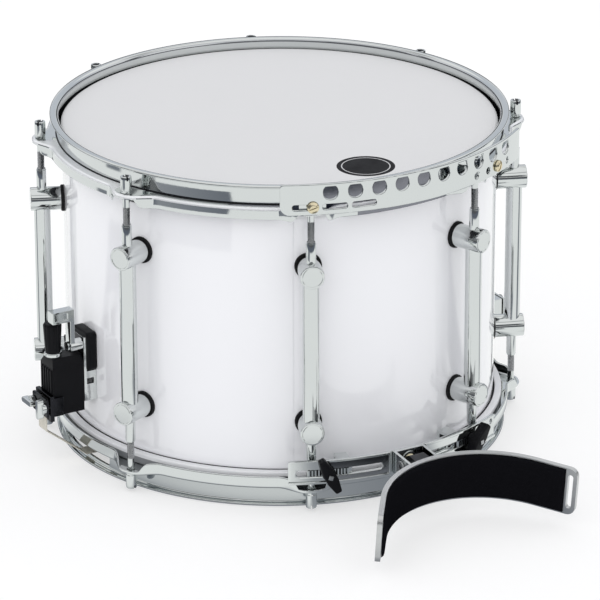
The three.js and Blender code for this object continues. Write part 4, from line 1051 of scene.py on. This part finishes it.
def makeSliders():
    # toothed slides that sit in the channel's slots behind the wing screws
    s = {"angle": 19, "long": 0.034, "tall": 0.0052, "from": 0.2031, "to": 0.2049, "teeth": 13,
         "height": 0.027, "base": -0.0006, "root": 0.0012,
         "tooth": (0.1, 0.35, 0.8, 0.98)}  # shares of one pitch
    half, pitch, deep = s["long"] / 2, s["long"] / s["teeth"], s["to"] - s["from"]
    line = [(-half, s["base"])]
    for k in range(s["teeth"]):
        line += [(-half + k * pitch + share * pitch, y) for share, y in zip(s["tooth"], (0, deep, deep, 0))]
    line.append((half, s["base"]))
    for side, name in ((-1, "left"), (1, "right")):
        slide = drawn(f"{name}Slide", line, s["tall"])
        place(slide, station(side * s["angle"], s["from"], s["height"]) @ outwards)
        smooth(dress(slide, chrome, darkRing), 20)
        # painted shade at the roots between the teeth
        markFaces(slide, lambda face: fromAxis(face.center) < s["from"] + s["root"])
        settle(slide, "drum", "chrome")


def makeWings():
    w = {"seat": 0.2053, "hub": 0.0056, "hubTall": 0.002, "barTall": 0.0086, "long": 0.031, "wide": 0.0098,
         "tip": 0.0052, "soft": 0.0013, "tipSoft": 0.0018, "waistSoft": 0.005, "stud": 0.0025,
         "studFrom": 0.1961, "studSoft": 0.0005, "overlap": 0.002, "hubFoot": 0.0005, "hubSoft": 0.0006,
         "insert": 0.0037, "insertThick": 0.0014, "insertUp": 0.0001, "insertCorner": 0.0004,
         "insertEdge": 0.0003, "bellyShare": 0.3, "angle": 19, "height": 0.027,
         "turns": (("left", -1, 27), ("right", 1, -42))}  # side, its sign and the wing's turn
    half, tip, wide = w["long"] / 2, w["tip"] / 2, w["wide"] / 2
    ends, waist, belly = w["tipSoft"], w["waistSoft"], half * w["bellyShare"]
    bar = plate("bar", softCorners([
        (-tip, -half, ends), (tip, -half, ends), (wide, -belly, waist), (wide, belly, waist),
        (tip, half, ends), (-tip, half, ends), (-wide, belly, waist), (-wide, -belly, waist),
    ], steps=4), w["barTall"], w["soft"], 4)
    place(bar, shift(0, 0, w["hubTall"] + w["barTall"] / 2))
    hubTop = w["hubTall"] + w["overlap"]
    combine(bar, turned("hub", softCorners([
        (0, 0, 0), (w["hub"], 0, w["hubFoot"]), (w["hub"], hubTop, w["hubSoft"]), (0, hubTop, 0),
    ], closed=False), 40), "UNION")
    smooth(dress(bar, blackPlastic), 40)
    square = boxOutline(0, 0, w["insert"], w["insert"], w["insertCorner"])
    insert = plate("insert", square, w["insertThick"], w["insertEdge"])
    place(insert, shift(0, 0, w["hubTall"] + w["barTall"] + w["insertUp"]) @ turn(45))
    low = w["studFrom"] - w["seat"]
    stud = turned("stud", softCorners([
        (0, low, 0), (w["stud"], low, w["studSoft"]), (w["stud"], w["overlap"], 0), (0, w["overlap"], 0),
    ], closed=False), 24)
    metalParts = joined("wingMetal", insert, stud)
    smooth(dress(metalParts, rodSteel))
    for name, side, tilt in w["turns"]:
        spot = station(side * w["angle"], w["seat"], w["height"]) @ turn(tilt, "X") @ outwards
        wing = place(copyPiece(bar, f"{name}Wing"), spot)
        settle(wing, f"wing_{name}", "black_plastic", f"wing_screw_{name}")
        core = place(copyPiece(metalParts, f"{name}WingStud"), spot)
        settle(core, f"wing_{name}", "rod_steel")
    discard(bar, metalParts)


def makeHinge():
    y = {"face": 0.2077, "height": 0.029, "washer": 0.0072, "washerThick": 0.0007, "washerHole": 0.0025,
         "head": 0.005, "headTall": 0.0026, "shank": 0.0022, "shankLong": 0.008, "pin": 0.003,
         "pinHead": 0.005, "pinHeadTall": 0.0015, "dimple": 0.0016, "dimpleDeep": 0.002, "bevel": 0.0005,
         "soft": 0.0002, "holeSoft": 0.0001, "pinSoft": 0.0005, "insideFacing": -0.9}
    yoke = refined("hinge_yoke", "hingeYokeBent", y["bevel"])
    dress(yoke, chrome, blackChrome)
    # painted shade on the far arm's inside
    markFaces(yoke, lambda face: face.normal.x < y["insideFacing"] and face.center.x > 0)
    settle(yoke, "drum", "chrome", "hinge_yoke")
    washer = turned("yokeWasher", softCorners([
        (y["washerHole"], 0, y["holeSoft"]), (y["washer"], 0, y["soft"]),
        (y["washer"], y["washerThick"], y["soft"]), (y["washerHole"], y["washerThick"], y["holeSoft"]),
    ], steps=2), 40, closed=True)
    place(washer, station(0, y["face"], y["height"]) @ outwards)
    settle(smooth(dress(washer, chrome)), "drum", "chrome")
    bolt = slottedScrew("yokeBolt", y["head"], y["headTall"], y["shank"], y["shankLong"])
    place(bolt, station(0, y["face"] + y["washerThick"], y["height"]) @ outwards)
    settle(dress(bolt, brass), "drum", "brass")
    low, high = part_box("hinge_pin")
    end, middle = high.x, (low + high) / 2
    shank, dip = end - y["pinHeadTall"], end - y["dimpleDeep"]
    half = softCorners([
        (y["pin"], 0, 0), (y["pin"], shank, 0), (y["pinHead"], shank, y["soft"]),
        (y["pinHead"], end, y["pinSoft"]), (y["dimple"], end, y["soft"]), (y["dimple"], dip, 0), (0, dip, 0),
    ], closed=False, steps=3)
    pin = turned("hingePinTurned", [(r, -z) for r, z in reversed(half)] + half[1:], 40)
    place(pin, shift(0, middle.y, middle.z) @ turn(90, "Y"))
    settle(smooth(dress(pin, rodSteel)), "drum", "rod_steel", "hinge_pin")


def makeLegRest():
    # painted shade on the strip's tongue between the bracket's arms
    t = {"bevel": 0.0009, "half": 0.0118, "outTo": 0.2435}
    rest = refined("leg_rest", "legRestBent", t["bevel"])
    dress(rest, satinAluminium, darkRing)
    markFaces(rest, lambda face: abs(face.center.x) < t["half"] and face.center.y > -t["outTo"])
    settle(rest, "rest", "aluminium", "leg_rest")


def makeLining():
    # a felt pad glued inside the strip: a flat grid, bent along it, full in the middle and soft at its edge
    f = {"radius": 0.0821, "thick": 0.0024, "arc": 55, "end": 0.0246, "tall": 0.0382, "soft": 0.0032,
         "edgeShare": 0.25, "across": 32, "along": 200, "tilt": 6.3, "reach": 0.0256, "stripRadius": 0.089}
    low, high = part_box("hinge_pin")
    half, outer = math.radians(f["arc"]), f["radius"] + f["thick"]
    arcEnd = outer * half
    length = 2 * (arcEnd + f["end"])
    clearSelection()
    bpy.ops.mesh.primitive_grid_add(x_subdivisions=f["along"], y_subdivisions=f["across"], size=1)
    pad = bpy.context.object
    pad.name = pad.data.name = "legRestFelt"
    pad.dimensions = (length, f["tall"], 0)
    bpy.ops.object.transform_apply(scale=True)
    applyModifier(pad, "SOLIDIFY", thickness=f["thick"], offset=1)
    for vertex in pad.data.vertices:
        along, up, thick = vertex.co
        inset = min(length / 2 - abs(along), f["tall"] / 2 - abs(up))
        full = math.sqrt(max(0.0, 1 - (1 - min(1.0, inset / f["soft"])) ** 2))
        share = f["edgeShare"] + (1 - f["edgeShare"]) * full
        radius = outer - (thick * share if thick > f["thick"] / 2 else 0.0)
        bend = max(-half, min(half, along / outer))
        past = along - math.copysign(arcEnd, along) if abs(along) > arcEnd else 0.0
        x = f["reach"] + f["stripRadius"] - radius * math.cos(bend) + abs(past) * math.sin(half)
        vertex.co = (x, radius * math.sin(bend) + past * math.cos(half), up)
    openMesh(pad)
    closeMesh()
    place(pad, Matrix.Translation((low + high) / 2) @ turn(-90) @ turn(f["tilt"], "Y"))
    smooth(dress(pad, blackFelt), 60)
    settle(pad, "rest", "felt", "leg_rest_lining")


makeLegRail()
makeSliders()
makeWings()
makeHinge()
makeLegRest()
makeLining()
print("leg-rest carrier modelled")


# Snare strainer and butt end

def makeKnob():
    k = {"ringTall": 0.0034, "ring": 0.007, "grip": 0.0063, "gripTop": 0.0076, "tall": 0.025,
         "collar": 0.0002, "collarTall": 0.003, "crown": 0.0015, "crownIn": 0.0012, "flutes": 12,
         "fluteDeep": 0.0007, "fluteFrom": (0.006, 0.0075), "fluteEnd": 0.0004, "fluteIn": 0.004,
         "spindle": 0.0024, "spindleSoft": 0.0004, "ringSoft": 0.0008, "gripSoft": 0.0006,
         "collarSoft": 0.0002, "topSoft": 0.0014, "crownSoft": 0.0008}
    low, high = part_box("tension_knob")
    middle = (low + high) / 2
    base = high.z - k["tall"] - k["ringTall"]
    seat = base + k["ringTall"]
    ring = turned("knobRing", softCorners([
        (0, low.z, 0), (k["spindle"], low.z, k["spindleSoft"]), (k["spindle"], base, 0),
        (k["ring"], base, k["ringSoft"]), (k["ring"], seat, k["ringSoft"]), (0, seat, 0),
    ], closed=False))
    grip = turned("knobGrip", softCorners([
        (0, seat, 0), (k["grip"], seat, k["gripSoft"]),
        (k["grip"] + k["collar"], seat + k["collarTall"], k["collarSoft"]),
        (k["gripTop"], high.z - k["crown"], k["topSoft"]),
        (k["gripTop"] - k["crownIn"], high.z, k["crownSoft"]), (0, high.z, 0),
    ], closed=False), 144)
    for vertex in grip.data.vertices:
        x, y, z = vertex.co
        radius = fromAxis(vertex.co)
        inGrip = smoothStep(base + k["fluteFrom"][0], base + k["fluteFrom"][1], z)
        inGrip *= (z < high.z - k["fluteEnd"]) * (radius > k["fluteIn"])
        wave = (1 - abs(math.cos(k["flutes"] / 2 * math.atan2(y, x)))) ** 2
        keep = 1 - k["fluteDeep"] * wave * inGrip / max(radius, k["fluteIn"])
        vertex.co = (x * keep, y * keep, z)
    for piece in (ring, grip):
        place(piece, shift(middle.x, middle.y, 0))
    settle(smooth(dress(ring, chrome)), "knob", "chrome", "tension_knob")
    settle(smooth(dress(grip, blackPlastic), 50), "knob", "black_plastic")


def makeStrainerBase():
    # a moulded block under the bracket, its back hollowed to lie on the shell
    b = {"back": 0.1779, "front": 0.1865, "width": 0.026, "height": 0.033, "low": 0.073, "corner": 0.0032,
         "edge": 0.0014}
    thick = b["front"] - b["back"]
    block = plate("strainerBase", boxOutline(0, 0, b["width"], b["height"], b["corner"]), thick, b["edge"], 3)
    place(block, shift(0, 0, thick / 2))
    place(block, station(-90, b["back"], b["low"] + b["height"] / 2) @ outwards)
    for vertex in block.data.vertices:
        if vertex.co.x > -b["back"] - b["edge"]:
            vertex.co.x += b["back"] - math.sqrt(b["back"] ** 2 - vertex.co.y ** 2)
    settle(smooth(dress(block, blackPlastic), 40), "drum", "black_plastic", "strainer_base")


def bracketShade(face):
    # painted shade: the bracket is dark inside, on its drum side and on the level faces near the shell
    steep, nearShell = 0.8, -0.1866
    inside = abs(face.normal.y) > steep and face.normal.y * face.center.y < 0
    levelFace = abs(face.normal.z) > steep and face.center.x > nearShell
    return face.normal.x < -steep or inside or levelFace


def makeStrainer():
    # node, name, bevel and its steps, material, body and slot
    pieces = [
        ("strainer_bracket", "strainerBracket", 0.0007, 3, chrome, "drum", "chrome"),
        ("strainer_housing", "strainerHousing", 0.0006, 3, blackPlastic, "drum", "black_plastic"),
        ("throw_lever", "throwLever", 0.0006, 3, chrome, "lever", "chrome"),
        ("snare_clamp_block", "clampBlock", 0.0005, 3, blackChrome, "clamp", "chrome"),
        ("snare_clamp_plate", "clampPlate", 0.0004, 3, blackChrome, "clamp", "chrome"),
        ("thumb_screw_front", "frontThumbScrew", 0.0005, 3, chrome, "thumb_front", "chrome"),
        ("thumb_screw_rear", "rearThumbScrew", 0.0005, 3, chrome, "thumb_rear", "chrome"),
        ("butt_end", "buttBody", 0.0008, 3, chrome, "drum", "chrome"),
        ("butt_clamp_plate", "buttPlate", 0.0004, 3, chrome, "drum", "chrome"),
        ("butt_clamp_screw", "buttScrew", 0.0004, 3, rodSteel, "butt_screw", "rod_steel"),
        ("snare_strap_strainer", "strainerStrap", 0.00015, 2, webbing, "drum", "strap_cloth"),
        ("snare_strap_butt", "buttStrap", 0.00015, 2, webbing, "drum", "strap_cloth"),
        ("snare_wires", "snareCables", 0.0001, 1, wireSteel, "drum", "wire_steel"),
    ]
    for node, name, bevel, segments, material, body, slot in pieces:
        piece = dress(refined(node, name, bevel, segments), material, blackChrome)
        if node == "strainer_bracket":
            markFaces(piece, bracketShade)
        settle(piece, body, slot, node)
    makeStrainerBase()
    makeKnob()


makeStrainer()
print("strainer and butt end modelled")


# Floor, light and camera

view = {"lens": 248.74, "sensor": 36, "elevation": 21.79, "azimuth": -29.88, "distance": 3.44209,
        "roll": -0.12, "target": (0.0143, -0.00821, -0.16107), "clip": 50}


def makeCamera():
    e, a, r = (math.radians(view[key]) for key in ("elevation", "azimuth", "roll"))
    back = Vector((math.cos(e) * math.sin(a), -math.cos(e) * math.cos(a), math.sin(e)))
    right = (-back).cross(Vector((0, 0, 1))).normalized()
    up = right.cross(-back)
    across = right * math.cos(r) + up * math.sin(r)
    above = up * math.cos(r) - right * math.sin(r)
    bpy.ops.object.camera_add()
    camera = bpy.context.object
    camera.data.lens = view["lens"]
    camera.data.sensor_width = view["sensor"]
    camera.data.clip_end = view["clip"]
    aim = Matrix((across, above, back)).transposed().to_4x4()
    camera.matrix_world = Matrix.Translation(Vector(view["target"]) + back * view["distance"]) @ aim
    bpy.context.scene.camera = camera


def largest(tree, *masks):
    total = masks[0]
    for mask in masks[1:]:
        total = maths(tree, "MAXIMUM", total, mask)
    return total


def azimuthMask(tree, x, y, ranges):
    # 1 in any of the ranges (low, high, soft, strength) of angle, counted from the camera's side towards +X;
    # a strength is one value, or a pair that the mask passes between from low to high
    angle = maths(tree, "DEGREES", maths(tree, "ARCTAN2", x, maths(tree, "MULTIPLY", y, -1)))
    masks = []
    for low, high, soft, strength in ranges:
        half = (high - low) / 2
        first, last = strength if isinstance(strength, tuple) else (strength, strength)
        away = maths(tree, "SUBTRACT", angle, view["azimuth"] + (low + high) / 2)
        wrapped = maths(tree, "WRAP", away, 180, -180)
        inside = mapRange(tree, maths(tree, "ABSOLUTE", wrapped), half + soft, half - soft, kind="SMOOTHSTEP")
        masks.append(maths(tree, "MULTIPLY", inside, mapRange(tree, wrapped, -half, half, first, last)))
    return largest(tree, *masks)


def bandMask(tree, value, low, high, soft, strength=1.0):
    rise = mapRange(tree, value, low - soft, low + soft, 0.0, strength, "SMOOTHSTEP")
    fall = mapRange(tree, value, high + soft, high - soft, kind="SMOOTHSTEP")
    return maths(tree, "MULTIPLY", rise, fall)


def patchMask(tree, x, y, ranges, value, band):
    return maths(tree, "MULTIPLY", azimuthMask(tree, x, y, ranges), bandMask(tree, value, *band))


sideCards = [(80, 90, 1.5, 0.8), (-90, -80, 1.5, 0.8)]


def makeWorld():
    # white behind the object; a soft even light; and what the bright metal sees: a pale room with dark cards.
    # The bands are heights in degrees: (from, to, soft, strength).
    w = {"behind": (1, 1, 1, 1), "pale": (1, 1, 1, 1), "dark": (0.03, 0.036, 0.046, 1),
         "light": (0.96, 0.965, 0.985, 1), "wall": (0.6, 0.635, 0.7, 1),
         "leftCard": (-74, -25, 1, 0.8), "cardBand": (-60, 35, 8), "horizonBand": (-40, 12, 2, 0.92),
         "ceilingBand": (48, 56, 3, 0.5), "farWall": (120, 240, 20, 0.9), "farBand": (14, 31, 3),
         "frontCard": (-34, 34, 8, 0.93), "frontBand": (15, 29, 2)}
    world = bpy.data.worlds.new("studio")
    bpy.context.scene.world = world
    world.use_nodes = True
    tree = world.node_tree
    background = tree.nodes["Background"]
    where = tree.nodes.new("ShaderNodeTexCoord").outputs["Generated"]
    x, y, z = addNode(tree, "ShaderNodeSeparateXYZ", {0: where}).outputs
    rise = maths(tree, "DEGREES", maths(tree, "ARCSINE", z))
    dark = largest(
        tree,
        patchMask(tree, x, y, [*sideCards, w["leftCard"]], rise, w["cardBand"]),
        bandMask(tree, rise, *w["horizonBand"]),
        bandMask(tree, rise, *w["ceilingBand"]),
        patchMask(tree, x, y, [w["frontCard"]], rise, w["frontBand"]),
    )
    far = patchMask(tree, x, y, [w["farWall"]], rise, w["farBand"])
    seen = mixColour(tree, far, mixColour(tree, dark, w["pale"], w["dark"]), w["wall"])
    rays = tree.nodes.new("ShaderNodeLightPath").outputs
    glossy = mixColour(tree, rays["Is Glossy Ray"], w["light"], seen)
    straight = largest(tree, rays["Is Camera Ray"], rays["Is Transmission Ray"])
    feed(tree, background.inputs["Color"], mixColour(tree, straight, glossy, w["behind"]))
    background.inputs["Strength"].default_value = 1.0


def makeFloor():
    # a pale floor that glossy metal mirrors with dark patches, those under the drum and beside the leg rest
    # being painted shadow; the bands are distances from the middle: (from, to, soft, strength)
    f = {"size": 12, "height": cadBox[0].z, "colour": (0.93, 0.93, 0.93, 1), "rough": 0.9,
         "pale": (0.97, 0.985, 0.98, 1), "dark": (0.06, 0.077, 0.118, 1), "lift": 0.1, "veil": 0.5,
         "glow": 1.02, "hoopPatch": (-63, -22, 0.6, (0.69, 0.865)), "hoopBand": (0.76, 100, 0.015),
         "sideBand": (0.26, 0.76, 0.04), "restShadowPatches": [(6, 48, 5, (0.66, 0.84)), (-80, -52, 6, 0.3)],
         "restShadowBand": (0.17, 0.34, 0.03), "underShadowBand": (-1, 0.2, 0.015, 0.85),
         "distantBand": (1.7, 100, 0.25, 0.92)}
    clearSelection()
    bpy.ops.mesh.primitive_plane_add(size=f["size"], location=(0, 0, f["height"]))
    floor = bpy.context.object
    floor.name = "floor"
    material = bpy.data.materials.new("paleFloor")
    material.use_nodes = True
    tree = material.node_tree
    shader = tree.nodes["Principled BSDF"]
    shader.inputs["Base Color"].default_value = f["colour"]
    shader.inputs["Roughness"].default_value = f["rough"]
    shader.inputs["Specular IOR Level"].default_value = 0.0
    where = tree.nodes.new("ShaderNodeTexCoord").outputs["Object"]
    x, y, z = addNode(tree, "ShaderNodeSeparateXYZ", {0: where}).outputs
    away = addNode(tree, "ShaderNodeVectorMath", {0: where}, operation="LENGTH").outputs["Value"]
    dark = largest(
        tree,
        patchMask(tree, x, y, [f["hoopPatch"]], away, f["hoopBand"]),
        patchMask(tree, x, y, sideCards, away, f["sideBand"]),
        # painted shadow of the leg rest and of the drum, seen only in the metal
        patchMask(tree, x, y, f["restShadowPatches"], away, f["restShadowBand"]),
        bandMask(tree, away, *f["underShadowBand"]),
        bandMask(tree, away, *f["distantBand"]),
    )
    seen = addNode(tree, "ShaderNodeEmission", {"Color": mixColour(tree, dark, f["pale"], f["dark"])})
    rays = tree.nodes.new("ShaderNodeLightPath").outputs
    straight = largest(tree, rays["Is Camera Ray"], rays["Is Transmission Ray"])
    lift, share = (maths(tree, "MULTIPLY", straight, f[key]) for key in ("lift", "veil"))
    glow = addNode(tree, "ShaderNodeEmission", {"Strength": lift})
    lifted = addNode(tree, "ShaderNodeAddShader", {0: shader.outputs[0], 1: glow.outputs[0]})
    veil = addNode(tree, "ShaderNodeEmission", {"Strength": f["glow"]})
    veiled = addNode(tree, "ShaderNodeMixShader", {0: share, 1: lifted.outputs[0], 2: veil.outputs[0]})
    mirrored = addNode(tree, "ShaderNodeMixShader", {
        0: rays["Is Glossy Ray"], 1: veiled.outputs[0], 2: seen.outputs[0],
    })
    feed(tree, tree.nodes["Material Output"].inputs["Surface"], mirrored.outputs[0])
    floor.data.materials.append(material)


def makeLamps():
    # one broad soft lamp from the front left, weak beside the even light
    a = {"energy": 9, "size": 2.2, "place": (-1.9, -2.3, 2.2)}
    bpy.ops.object.light_add(type="AREA", location=a["place"])
    lamp = bpy.context.object
    lamp.data.energy = a["energy"]
    lamp.data.size = a["size"]
    lamp.rotation_mode = "QUATERNION"
    lamp.rotation_quaternion = (Vector(a["place"]) - Vector(view["target"])).to_track_quat("Z", "Y")
    lamp.visible_glossy = False


makeCamera()
makeWorld()
makeFloor()
makeLamps()
bpy.context.scene.view_settings.view_transform = "Standard"
clearSelection()
print("floor, light and camera placed")
